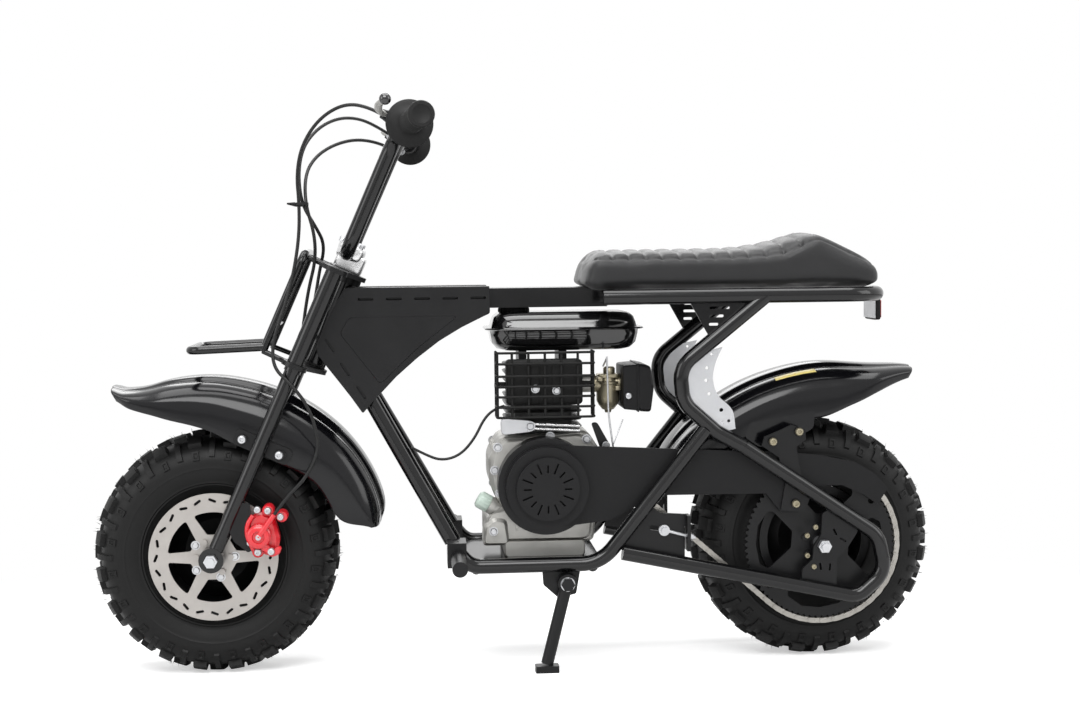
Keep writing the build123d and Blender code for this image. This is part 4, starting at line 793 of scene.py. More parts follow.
@dataclass
class BalloonTyre:
    """Balloon tyre: a turned carcass with tread blocks, sidewall lugs and moulding hairs standing on it."""

    name: str
    axle_x: float
    body: str
    # Radius and distance from the middle plane, from the crown to the bead
    half_section: tuple[tuple[float, float], ...] = (
        (171.0, 0.0), (171.0, 12.0), (170.2, 24.0), (166.5, 43.0), (158.0, 59.5), (143.0, 68.4),
        (125.0, 68.0), (104.0, 61.0), (90.0, 54.0), (85.5, 51.4), (84.4, 49.0))
    lugs: int = 20
    # Moulded ribs on the sidewall: places over the section, and the size of their bell curves
    ribs: tuple[float, ...] = (93.0, 117.0, 121.0)
    rib_size: float = 0.9
    # Hairs: how many are drawn, their foot's radius, and how far round from the floor none stands
    hair_draws: int = 210
    hair_radius: float = 0.42
    worn_angle: float = 0.3
    hair_seed: int = 7
    # How deep a block's foot lies under the carcass
    sunk: float = 2.5

    def __post_init__(self) -> None:
        """Samples the half section and its length from the crown's middle."""
        line = smooth_path(self.half_section, 300)
        along = units(np.gradient(line, axis=0))
        self.line = line
        self.normal = np.column_stack([along[:, 1], -along[:, 0]])
        self.reach = np.concatenate([[0], np.cumsum(np.linalg.norm(np.diff(line, axis=0), axis=1))])

    def skin(self, s: np.ndarray, angle: np.ndarray, lift: np.ndarray) -> np.ndarray:
        """Points about the axle, s over the section from its crown, at an angle, lifted off the rubber.

        Args:
            s: Signed distance over the section, left side positive.
            angle: Angle about the axle in radians.
            lift: Height over the carcass.

        Returns:
            Array with a last axis of X, Y and Z.
        """
        span, side = np.abs(s), np.where(s < 0, -1.0, 1.0)
        radius = np.interp(span, self.reach, self.line[:, 0]) + lift * np.interp(
            span, self.reach, self.normal[:, 0])
        y = np.interp(span, self.reach, self.line[:, 1]) + lift * np.interp(
            span, self.reach, self.normal[:, 1])
        return np.stack(np.broadcast_arrays(radius * np.cos(angle), side * y, radius * np.sin(angle)), -1)

    def carcass(self) -> Surface:
        """The turned section with thin moulded ribs, as bell curves, on each sidewall."""
        s = np.linspace(-self.reach[-1], self.reach[-1], 150)
        size = self.rib_size
        ribs = sum(size * np.exp(-((np.abs(s) - at) / size) ** 2) for at in self.ribs)
        angle = full_turn(200)
        return Surface.grid(self.skin(s[:, None], angle[None], ribs[:, None]), close_u=True, close_v=True)

    def pad(self, s_low: float, s_high: float, width: float, height: tuple[float, float], window: float = 0.0,
            lean: float = 0.0) -> Surface:
        """One raised block about angle 0, its height falling to the foot at each of its edges.

        Args:
            s_low: Start over the section.
            s_high: End over the section.
            width: Width round the tyre.
            height: Height at the start and at the end.
            window: Depth of the sunk panel in the block's face.
            lean: How far the end is shifted round the tyre.

        Returns:
            The block, its foot sunk in the carcass.
        """
        # Shares of the block's length and width, and where its top and its sunk panel lie
        cut = np.array([0.0, 0.1, 0.26, 0.33, 0.67, 0.74, 0.9, 1.0])
        raised = np.array([0.0, 1, 1, 1, 1, 1, 1, 0])
        panel = np.array([0.0, 0, 0, 1, 1, 0, 0, 0])
        rows, cols = cut[:, None], cut[None, :]
        s = s_low + (s_high - s_low) * rows
        radius = np.interp(np.abs(s), self.reach, self.line[:, 0])
        angle = (width * (cols - 0.5) + lean * rows) / radius
        top = height[0] + (height[1] - height[0]) * rows - window * np.minimum(panel[:, None], panel[None])
        lift = np.where(np.minimum(raised[:, None], raised[None]) > 0, top, -self.sunk)
        return Surface.grid(
            self.skin(s * np.ones_like(cols), angle, lift)).faced(np.array([170.0, 0.0, 0.0]))

    def tread(self) -> Surface:
        """Every block: lugs, shoulder blocks and crown rows, the two sides half a step apart."""
        step = 2 * np.pi / self.lugs
        turns = step * np.arange(self.lugs)
        # Each kind of block with its share of a step round the tyre
        kinds = [
            (self.pad(40, 80, 9.5, (7.0, 2.0)), 0.0),
            (self.pad(66, 82, 11.0, (2.6, 2.0), 1.6), 0.5),
            (self.pad(36, 60, 23.0, (9.0, 7.0)), 0.5),
            (self.pad(3, 33, 23.0, (9.0, 8.5), 0.0, 5.0), 0.0)]
        parts = []
        for block, share in kinds:
            for side, shift in ((1, 0.0), (-1, 0.5)):
                made = block if side > 0 else block.mirrored()
                moves = spins(turns + step * (share + shift))
                parts.append(made.copies(moves, np.zeros((self.lugs, 3))))
        return Surface.merged(parts)

    def hairs(self) -> Surface:
        """Thin rubber hairs from the mould's vents, each a cone of four sides, at seeded angles."""
        rng = np.random.default_rng(self.hair_seed)
        angle = rng.uniform(0, 2 * np.pi, self.hair_draws)
        from_floor = np.abs((angle - 1.5 * np.pi + np.pi) % (2 * np.pi) - np.pi)
        angle = angle[from_floor > self.worn_angle]
        count = len(angle)
        s = rng.choice([-1, 1], count) * rng.uniform(6, 56, count)
        foot = self.skin(s, angle, np.full(count, 7.0))
        tip = self.skin(
            s + rng.normal(0, 1.5, count), angle + rng.normal(0, 0.012, count),
            rng.uniform(12.0, 15.0, count))
        along = tip - foot
        side = units(np.cross(along, [0.0, 1.0, 0.0]))
        other = units(np.cross(along, side))
        ring = np.stack([side, other, -side, -other], 1) * self.hair_radius
        points = np.concatenate([foot[:, None] + ring, tip[:, None]], 1)
        base = (np.arange(count) * 5)[:, None, None]
        tris = np.array([[0, 1, 4], [1, 2, 4], [2, 3, 4], [3, 0, 4]])[None] + base
        return Surface(points.reshape(-1, 3), np.zeros((0, 4), int), tris.reshape(-1, 3))

    def build(self, shop: Workshop) -> None:
        """Makes the tyre in place of its CAD node."""
        place = np.array([self.axle_x, 0.0, WHEEL_RADIUS])
        tyre = Surface.merged([self.carcass(), self.tread(), self.hairs()])
        shop.piece(
            self.name + "_rubber", tyre.carried(tyre.points + place), self.body, TYRE_RUBBER,
            (self.name,))


@dataclass
class Mudguard:
    """Pressed gloss fender: an arch section carried round the wheel, with a raised centre band."""

    name: str
    axle_x: float
    body: str
    half_width: float
    # Columns: angle about the axle, crown radius, skirt radius, share of the half width
    table: tuple[tuple[float, float, float, float], ...]
    # Columns: share of the half width, share of the depth from crown to skirt
    arch: tuple[tuple[float, float], ...] = (
        (0.0, 0.0), (0.16, 0.004), (0.30, 0.02), (0.36, 0.055), (0.42, 0.10), (0.54, 0.115), (0.66, 0.14),
        (0.78, 0.20), (0.88, 0.30), (0.95, 0.42), (0.98, 0.52), (0.995, 0.72), (1.0, 1.0))
    wall: float = 2.5

    def skin(self, turn: np.ndarray, across: np.ndarray, lift: float = 0.0) -> np.ndarray:
        """Points at share turn of the table and signed share across of the arch, lifted off the surface."""
        angle, crown, skirt, share = read_curve(self.table, np.clip(turn, 0, 1), 400)
        out, down = read_curve(self.arch, np.abs(across), 200)
        y = np.sign(across) * (out * share * self.half_width + lift * 0.75 * out)
        radius = crown - down * (crown - skirt) + lift * (1 - 0.6 * out)
        angle = np.radians(angle)
        return np.stack(np.broadcast_arrays(
            self.axle_x + radius * np.cos(angle), y, WHEEL_RADIUS + radius * np.sin(angle)), -1)

    def shell(self) -> Surface:
        """The outer face as a grid of 90 rows and 73 columns."""
        rising = self.table[0][0] < self.table[-1][0]
        turn = np.linspace(0, 1, 90)[:, None]
        across = np.linspace(-1, 1, 73)[None, :]
        return Surface.grid(self.skin(turn, across), flip=rising)

    def build(self, shop: Workshop) -> None:
        """Makes the fender in place of its CAD node."""
        shape = shop.piece(
            self.name + "_moulding", self.shell(), self.body, GLOSS_PLASTIC,
            (self.name,), smooth=60.0)
        shop.thickened(shape, self.wall)


FRONT_FENDER = Mudguard("front_fender", WHEELBASE, "fork", 80.5, (
    (171.0, 246.0, 232.0, 0.87), (164.0, 258.0, 190.0, 0.98), (144.0, 259.0, 182.0, 1.0),
    (124.0, 258.0, 166.0, 1.0), (104.0, 258.0, 167.0, 1.0), (90.0, 261.0, 184.0, 1.0),
    (76.0, 264.0, 205.0, 0.99), (68.0, 266.0, 225.0, 0.94), (62.0, 276.0, 246.0, 0.84),
    (59.0, 289.0, 266.0, 0.67)))
REAR_FENDER = Mudguard("rear_fender", 0.0, "frame", 80.0, (
    (28.0, 262.0, 232.0, 0.9), (36.0, 262.0, 206.0, 1.0), (56.0, 258.0, 190.0, 1.0),
    (76.0, 260.0, 188.0, 1.0), (92.0, 267.0, 188.0, 1.0), (104.0, 273.0, 212.0, 1.0),
    (112.0, 283.0, 240.0, 0.92), (121.0, 303.0, 282.0, 0.62)))


@dataclass
class RearFenderFittings:
    """The rear fender's two bolted ears and the yellow reflector strip on its left shoulder."""

    ear: tuple[tuple[float, float], ...] = (
        (6, 378), (8, 352), (22, 344), (44, 344), (60, 325), (90, 325), (112, 340), (104, 362))

    def build(self, shop: Workshop) -> None:
        """Makes the ears and the strip."""
        ear = plate(self.ear, 6.0, 77.6, 80.0)
        shop.piece("rear_fender_ears", ear.paired(), "frame", GLOSS_PLASTIC)
        turn = np.linspace(0.43, 0.555, 30)[:, None]
        across = np.linspace(0.42, 0.53, 6)[None, :]
        strip = shop.piece(
            "rear_reflector_strip", Surface.grid(REAR_FENDER.skin(turn, across, 1.2), flip=True), "frame",
            YELLOW_REFLECTOR)
        shop.thickened(strip, 1.1)


@dataclass
class BenchSeat:
    """Vinyl seat: a pad blown up as cloth, then sewn across in channels and along its side seam."""

    bottom: float = 563.5
    half_width: float = 106.0
    # Columns: X, height of the side seam, height of the top's middle
    ridge: tuple[tuple[float, float, float], ...] = (
        (-97.0, 576.0, 578.0), (-88.0, 590.0, 594.0), (-70.0, 600.0, 605.0), (-40.0, 614.0, 621.0),
        (-12.0, 627.0, 635.0), (4.0, 632.0, 640.0), (22.0, 627.0, 639.0), (50.0, 615.0, 631.0),
        (80.0, 610.0, 624.0), (120.0, 608.0, 619.0), (180.0, 607.0, 617.5), (318.0, 607.0, 617.0),
        (342.0, 605.0, 614.0), (358.0, 594.0, 600.0))
    channels: tuple[float, ...] = (
        308.0, 284.0, 259.0, 235.0, 209.0, 183.0, 157.0, 132.0, 107.0, 81.0, 55.0, 30.0)
    middle_x: float = 130.5
    half_length: float = 227.5
    # The cloth's cell, how far the pressure may move it, and how much smaller the pad starts
    voxel: float = 4.6
    swell: float = 5.0
    shrink: float = 2.0
    # Stitching: the bell curves' width and depth at a channel and at the side seam
    channel_width: float = 2.5
    channel_depth: float = 3.0
    seam_width: float = 1.7
    seam_depth: float = 2.0
    # Between two channels: half their distance, the puff's height, how deep it starts, and where it is
    bay: float = 12.5
    puff: float = 1.9
    puff_base: float = 1.2
    quilt: tuple[float, float] = (18.0, 320.0)

    def heights(self, x: np.ndarray) -> tuple[np.ndarray, np.ndarray]:
        """The side seam's height and the middle's height at X, from a smooth curve through the table."""
        curve = smooth_path(self.ridge, 400)
        return np.interp(x, curve[:, 0], curve[:, 1]), np.interp(x, curve[:, 0], curve[:, 2])

    def foam(self) -> Surface:
        """The starting shape: flat sides and a crowned top, narrowed at both ends by a superellipse."""
        share = np.sin(np.linspace(-1, 1, 120) * np.pi / 2)
        x = self.middle_x + (self.half_length - self.shrink) * share
        seam, middle = self.heights(x)
        narrow = (1 - np.abs(share) ** 30) ** (1 / 6)
        turn = full_turn(72)
        across = signed_power(np.cos(turn), 0.2)
        upward = signed_power(np.sin(turn), 0.24)
        y = (self.half_width - self.shrink) * narrow[:, None] * across[None]
        crown = (middle - seam)[:, None] * (1 - (y / self.half_width) ** 2)
        level = np.clip(upward, -1, 1)[None]
        low = self.bottom + self.shrink
        top = seam[:, None] + crown - self.shrink
        mid = (top + low) / 2
        z = mid + (top - low) / 2 * level * (0.15 + 0.85 * narrow[:, None])
        tip = np.clip((x - 290.0) / 66.0, 0, 1)[:, None] ** 1.5
        slope = 14.0 * tip * np.clip((z - 571.0) / 46.0, 0, 1)
        points = np.stack(np.broadcast_arrays(x[:, None] - slope, y, z), -1)
        return Surface.capped(points)

    def sewn(self, points: np.ndarray, normals: np.ndarray) -> np.ndarray:
        """Pulls the vinyl in at channels and side seam by bell curves, and puffs it between channels.

        Args:
            points: Array (n, 3) in bike millimetres.
            normals: Array (n, 3) of outward directions.

        Returns:
            The moved points.
        """
        x, y, z = points.T
        seam, _ = self.heights(x)
        over = 1 / (1 + np.exp(-(z - seam + 1.5) / 1.6))
        fade = np.clip((108.0 - np.abs(y)) / 6.0, 0, 1)
        nearest = np.abs(x[:, None] - np.array(self.channels)[None]).min(1)
        channel = np.exp(-(nearest / self.channel_width) ** 2)
        quilted = (x > self.quilt[0]) & (x < self.quilt[1])
        swelling = self.puff * np.sqrt(np.clip(nearest / self.bay, 0, 1)) - self.puff_base
        inwards = over * (0.35 + 0.65 * fade) * (
            self.channel_depth * channel - np.where(quilted, swelling, 0.0))
        inwards += self.seam_depth * np.exp(-((z - seam) / self.seam_width) ** 2) * (np.abs(y) > 80)
        return points - normals * inwards[:, None]

    def build(self, shop: Workshop) -> None:
        """Blows the pad up, subdivides it once and sews it."""
        shape = shop.piece("seat_cover", self.foam(), "frame", SEAT_VINYL, ("seat",))
        voxels = shape.modifiers.new("voxels", "REMESH")
        voxels.mode = "VOXEL"
        voxels.voxel_size = self.voxel / 1000.0
        shop.applied(shape)
        start = shop.read_points(shape)
        cloth = shape.modifiers.new("foam pressure", "CLOTH")
        cloth.settings.use_pressure = True
        cloth.settings.uniform_pressure_force = 4.0
        cloth.settings.effector_weights.gravity = 0.0
        for frame in range(1, 21):
            bpy.context.scene.frame_set(frame)
        shop.applied(shape)
        bpy.context.scene.frame_set(1)
        move = shop.read_points(shape) - start
        length = np.linalg.norm(move, axis=1, keepdims=True)
        shop.write_points(shape, start + move * np.minimum(1.0, self.swell / np.maximum(length, 1e-6)))
        smooth = shape.modifiers.new("one subdivision", "SUBSURF")
        smooth.levels = smooth.render_levels = 1
        shop.applied(shape)
        shop.dress(shape, SEAT_VINYL)
        shop.write_points(shape, self.sewn(shop.read_points(shape), shop.read_normals(shape)))
        shape.data.polygons.foreach_set("use_smooth", np.ones(len(shape.data.polygons), bool))


@dataclass
class FuelTank:
    """Two enamelled pressings joined at a flange, with a scalloped cap and two strap feet."""

    centre: tuple[float, float] = (375.0, -6.0)
    cap_x: float = 448.0
    waves: int = 24
    # Columns: height, half length, half width
    section: tuple[tuple[float, float, float], ...] = (
        (471.0, 0.0, 0.0), (471.0, 70.0, 36.0), (471.8, 90.0, 52.0), (475.0, 101.0, 61.0),
        (483.0, 108.0, 68.0), (496.0, 111.0, 73.0), (502.2, 111.6, 74.0), (503.0, 112.5, 75.0),
        (503.0, 118.2, 80.8), (504.2, 119.5, 82.0), (505.4, 118.2, 80.8), (505.6, 111.0, 75.0),
        (506.6, 109.6, 74.0), (513.0, 108.0, 72.6), (521.0, 105.0, 69.0), (526.2, 99.0, 62.0),
        (528.6, 90.0, 52.0), (529.0, 70.0, 36.0), (529.0, 0.0, 0.0))

    def body(self) -> Surface:
        """Rounded rectangles stacked up the section: a superellipse of power 5.5 at each height."""
        turn = full_turn(120)
        across, beside = (signed_power(v, 2 / 5.5) for v in (np.cos(turn), np.sin(turn)))
        rows = np.array(self.section)
        points = np.stack(np.broadcast_arrays(
            self.centre[0] + rows[:, 1][:, None] * across, self.centre[1] + rows[:, 2][:, None] * beside,
            rows[:, 0][:, None]), -1)
        return Surface.rings(points)

    def cap(self) -> Surface:
        """Turned cap with a scalloped rim."""
        turn = full_turn(144)
        rows = np.array([
            (0, 527), (20, 527), (23.0, 528), (23.4, 530), (23.2, 533.6), (21.6, 535.4), (0, 535.6)])
        radius = scalloped(rows, self.waves, 22.9, turn)
        points = np.stack(np.broadcast_arrays(
            self.cap_x + radius * np.cos(turn), self.centre[1] + radius * np.sin(turn),
            rows[:, 1][:, None]), -1)
        return Surface.rings(points)

    def build(self, shop: Workshop) -> None:
        """Makes the pressings, the cap and the feet."""
        shop.piece("tank_pressing", self.body(), "frame", TANK_ENAMEL, ("fuel_tank",), 50.0)
        shop.piece("tank_cap", self.cap(), "frame", MATT_PLASTIC)
        feet = [prism([(x - 6, 452), (x + 6, 452), (x + 6, 472), (x - 6, 472)], -35, 35) for x in (378, 438)]
        shop.bevelled(shop.piece(
            "tank_feet", Surface.merged(feet), "frame", SATIN_STEEL, (), None), 1.5)


@dataclass(frozen=True)
class Cord:
    """One Bowden cable or wire: a smooth spline through chosen points."""

    node: str
    body: str
    diameter: float
    length: float
    # Control points in bike millimetres, with Z from the axles' line
    points: tuple[tuple[float, float, float], ...]

    def build(self, shop: Workshop) -> None:
        """Lays the cord as a bevelled spline of order 3 in place of its CAD node."""
        data = bpy.data.curves.new(self.node + "_sheath", "CURVE")
        data.dimensions = "3D"
        data.bevel_depth = self.diameter / 2000.0
        data.bevel_resolution = 4
        data.use_fill_caps = True
        data.resolution_u = 10
        spline = data.splines.new("NURBS")
        spline.points.add(len(self.points) - 1)
        row = shop.space.to_row(np.array(self.points) + [0, 0, WHEEL_RADIUS])
        spline.points.foreach_set("co", np.column_stack([row, np.ones(len(row))]).ravel())
        spline.order_u = 3
        spline.use_endpoint_u = True
        cord = bpy.data.objects.new(self.node + "_sheath", data)
        bpy.context.scene.collection.objects.link(cord)
        cord.data.materials.append(CABLE_SHEATH.material())
        shop.settle(cord, self.body, (self.node,))


CABLE_DIAMETER = 5.0
WIRE_DIAMETER = 4.0
CORDS: tuple[Cord, ...] = (
    Cord("front_brake_cable", "fork", CABLE_DIAMETER, 744.0, (
        (632, 163, 627), (652, 137, 642), (690, 112, 652), (728, 100, 632), (754, 93, 595),
        (763, 89, 553), (760, 86, 510), (761, 87, 465), (769, 90, 415), (782, 96, 366), (801, 98, 315),
        (801, 105, 277), (776, 112, 254), (753, 114, 224), (741, 115, 190), (738, 115, 155),
        (756, 114.5, 119), (784, 114.5, 92), (802.4, 114.5, 66.9))),
    Cord("rear_brake_cable", "fork", CABLE_DIAMETER, 600.0, (
        (632, -163.2, 627), (656, -124, 640), (682, -82, 647), (709, -38, 643), (736, 6, 625),
        (756, 44, 595), (762, 70, 555), (757, 78.5, 510), (740, 56, 480), (727, 32, 452),
        (737, 25, 412), (744, 29, 369), (755, 32, 324), (771.2, 30, 282.7))),
    Cord("throttle_cable", "fork", CABLE_DIAMETER, 564.0, (
        (614.8, -164, 601.8), (626, -128, 600), (650, -92, 610), (683, -58, 613), (715, -22, 602),
        (740, 16, 582), (753, 54, 554), (751.5, 84.5, 510), (740, 74, 469), (740, 55, 430),
        (752, 47, 387), (761, 45, 333), (767.7, 48, 281.2))),
    Cord("engine_wire", "frame", WIRE_DIAMETER, 178.0, (
        (606, 59.7, 153), (588, 60, 143), (562, 60, 132), (534, 58, 139), (512, 55, 163),
        (497, 50, 193), (480, 46, 207), (466.6, 44, 210))))


def rounded_block(centre: tuple, half: tuple, power: float = 5.0,
                  steps: tuple[int, int] = (25, 44)) -> Surface:
    """A superellipsoid: each coordinate is its half size times a sine or cosine raised to 2 / power."""
    rise = np.linspace(-np.pi / 2, np.pi / 2, steps[0])[:, None]
    turn = full_turn(steps[1])[None]
    soft = [signed_power(v, 2 / power) for v in (np.cos(rise), np.sin(rise), np.cos(turn), np.sin(turn))]
    points = np.stack(np.broadcast_arrays(
        centre[0] + half[0] * soft[0] * soft[2], centre[1] + half[1] * soft[0] * soft[3],
        centre[2] + half[2] * soft[1]), -1)
    return Surface.rings(points)


@dataclass
class Controls:
    """Grips with guard flanges, lever perches with adjusters, and ball-ended levers, on both sides."""

    grip_length: float = 116.0
    bar_rise: float = 296.0
    end_rise: float = 315.0
    grip_radius: float = 15.6
    ribs: int = 23
    rib_height: float = 0.45
    # Ahead of the bar: the lever's pivot and its ball
    pivot_reach: float = 32.0
    ball_reach: float = 50.0
    ball_radius: float = 8.0

    def __post_init__(self) -> None:
        """Finds the left grip's axis and outer end."""
        self.end = to_fork((-12.5, 325.0, self.end_rise))
        along = self.end - to_fork((16.0, 74.0, self.bar_rise))
        self.along = along / np.linalg.norm(along)
        self.ahead = np.array([math.cos(RAKE), 0.0, math.sin(RAKE)])

    def grip(self) -> Surface:
        """The grip's turned section: flange, ribs as a cosine of the length, and a dished end button."""
        at = np.linspace(14, 106, 140)
        tube = np.column_stack([
            self.grip_radius + self.rib_height * np.cos((at - 14) / 92 * 2 * np.pi * self.ribs), at])
        start = np.array([
            (0, -2), (31.0, -2), (32.8, -1), (33.0, 0.8), (32.0, 2.6), (27, 3.8), (21.5, 6.5),
            (17.5, 11)])
        close = np.array([
            (16.4, 109), (17.6, 112), (18.0, 115), (17.8, 118), (16.6, 120), (12.5, 120.2), (11.4, 119),
            (0, 119)])
        profile = np.concatenate([start, tube, close])
        return turned(profile, tuple(self.end - self.along * self.grip_length), 64, tuple(self.along))

    def lever(self) -> tuple[Surface, Surface, Surface, Surface]:
        """The perch, its bright adjusters, the flat lever blade and its ball."""
        start = self.end - self.along * (self.grip_length + 34)
        stop = self.end - self.along * (self.grip_length + 6)
        middle = (start + stop) / 2
        pivot = middle + self.ahead * self.pivot_reach
        perch = [
            turned(
                [(0, 0), (14.2, 0), (15, 1), (15, 27), (14.2, 28), (0, 28)], tuple(start), 40,
                tuple(self.along)),
            round_bar(
                [middle, middle + self.ahead * 14, pivot - self.ahead * 4, pivot + self.ahead * 5],
                [12.0, 10.0, 9.0, 6.5], 20),
            turned(
                [(0, -6.5), (6.5, -6.5), (7.5, -5.5), (7.5, 5.5), (6.5, 6.5), (0, 6.5)], tuple(pivot), 24,
                (-math.sin(RAKE), 0, math.cos(RAKE)))]
        knurl = np.array([
            (0, 0), (4.6, 0), (4.6, 12), (6.4, 12.6), (6.4, 20), (5.4, 21), (3.4, 21), (3.4, 25),
            (0, 25)])
        low = middle + to_fork((6.0, 0, -16.0)) - to_fork((0, 0, 0))
        adjusters = [turned(knurl, tuple(place), 20, (0, -1, 0)) for place in (pivot, low)]
        tip = self.end + self.ahead * self.ball_reach - self.along * 4
        knee = stop + self.ahead * 46 + self.along * 10
        path = smooth_path([
            pivot, pivot + self.ahead * 9 + self.along * 10, knee,
            knee * 0.6 + tip * 0.4 + self.ahead * 3, tip], 40)
        side, rise = path_frames(path, np.array([-math.sin(RAKE), 0.0, math.cos(RAKE)]))
        turn = full_turn(16)
        wide = np.interp(np.arange(40), [0, 8, 20, 39], [7.0, 7.5, 6.2, 4.2])[:, None, None]
        blade = path[:, None] + side[:, None] * np.cos(turn)[None, :, None] * wide + (
            rise[:, None] * np.sin(turn)[None, :, None] * wide * 0.55)
        blade = np.concatenate([path[:1, None].repeat(16, 1), blade, path[-1:, None].repeat(16, 1)])
        half = np.linspace(0, np.pi, 20)
        ball = turned(
            self.ball_radius * np.column_stack([np.sin(half), -np.cos(half)]),
            tuple(tip), 28, tuple(self.along))
        return (Surface.merged(perch), Surface.merged(adjusters), Surface.rings(blade), ball)

    def build(self, shop: Workshop) -> None:
        """Makes both sides' controls in place of the grips and the levers."""
        shop.piece(
            "grip_rubbers", self.grip().paired(), "fork", GRIP_RUBBER, ("grips",), 50.0)
        perch, adjusters, blade, ball = (part.paired() for part in self.lever())
        shop.piece("lever_perches", perch, "fork", SATIN_STEEL, ("brake_levers",), 40.0)
        shop.piece("cable_adjusters", adjusters, "fork", ZINC)
        shop.piece("lever_blades", blade, "fork", CAST_ALLOY, (), 60.0)
        shop.piece("lever_balls", ball, "fork", TANK_ENAMEL, (), 60.0)


@dataclass
class BarClamp:
    """Polished cast clamp: a waisted foot, a barrel round the bar, and four socket bolts."""

    def build(self, shop: Workshop) -> None:
        """Makes the clamp in place of its CAD node."""
        foot = rounded_block((8, 0, 96), (22, 27, 15), 7.0)
        cradle = rounded_block((12, 0, 110), (21, 31, 13.5), 4.0)
        lid = rounded_block((16, 0, 117), (18, 30.5, 9.5), 3.6)
        bolts = []
        for u in (2.0, 30.0):
            for y in (-21.0, 21.0):
                bolts.append(turned(
                    [(0, 0), (5.4, 0), (5.6, 7), (5.0, 8), (2.6, 8), (2.5, 4), (0, 4)], (u, y, 120), 20,
                    (0, 0, 1)))
        body = Surface.merged([foot, cradle, lid])
        shop.piece(
            "clamp_casting", body.carried(to_fork(body.points)), "fork", BRIGHT_ALLOY,
            ("bar_clamp",), 50.0)
        heads = Surface.merged(bolts)
        shop.piece("clamp_bolts", heads.carried(to_fork(heads.points)), "fork", ZINC)


@dataclass
class SilencerCage:
    """Cage of bent wires and uprights round the silencer, with the silencer's ribs and bolts."""

    left: float = 338.0
    right: float = 480.0
    front: float = 104.0
    back: float = 66.0
    levels: tuple[float, ...] = (378.0, 393.0, 408.0, 423.0, 438.0, 456.0, 472.0)
    wire: float = 1.9

    def loop(self, level: float) -> Surface:
        """One wire: back to front, across and back again, its two corners bent."""
        bend = 7.0
        arc = np.linspace(0, np.pi / 2, 6)
        start = np.column_stack([
            self.left + bend * (1 - np.sin(arc[::-1])), self.front - bend * (1 - np.cos(arc[::-1]))])
        stop = start[::-1] * [-1, 1] + [self.left + self.right, 0]
        flat = np.concatenate([[(self.left, self.back)], start, stop, [(self.right, self.back)]])
        return round_bar(np.column_stack([flat, np.full(len(flat), level)]), self.wire, 10, (0, 0, 1))

    def build(self, shop: Workshop) -> None:
        """Makes the cage in place of its CAD node."""
        wires = [self.loop(level) for level in self.levels]
        low, high = self.levels[0], self.levels[-1]
        for x in (self.left + 1, 362.0, 386.0, 410.0, 434.0, 458.0, self.right - 1):
            y = self.front if abs(x - 409) < 65 else self.front - 6
            wires.append(
                round_bar([(x, y - 2.2, low - 1), (x, y - 2.2, high + 1)], self.wire, 10, (0, 1, 0)))
        for x in (self.left, self.right):
            wires.append(
                round_bar([(x, self.back, low - 1), (x, self.back, high + 1)], self.wire, 10, (0, 1, 0)))
        for x in (354.5, 465.5):
            inner = x - 17 if x < 400 else x + 15
            wires.append(
                rounded_block(((x + inner) / 2, 70, 423), (abs(x - inner) / 2 + 2, 1.8, 5), 6.0, (9, 16)))
        shop.piece(
            "cage_wires", Surface.merged(wires), "frame", HEAT_PAINT,
            ("muffler_guard",), 50.0)
        ribs = [rounded_block((x, 95, 428), (6.5, 2.2, 30), 6.0, (13, 24)) for x in (424.0, 393.0)]
        shop.piece("silencer_ribs", Surface.merged(ribs), "frame", HEAT_PAINT)
        bolts = [hexagon_bolt(424, 96.5, 419, 4.6, 5.5), hexagon_bolt(393, 96.5, 416, 4.6, 5.5)]
        shop.piece("silencer_bolts", Surface.merged(bolts), "frame", ZINC)


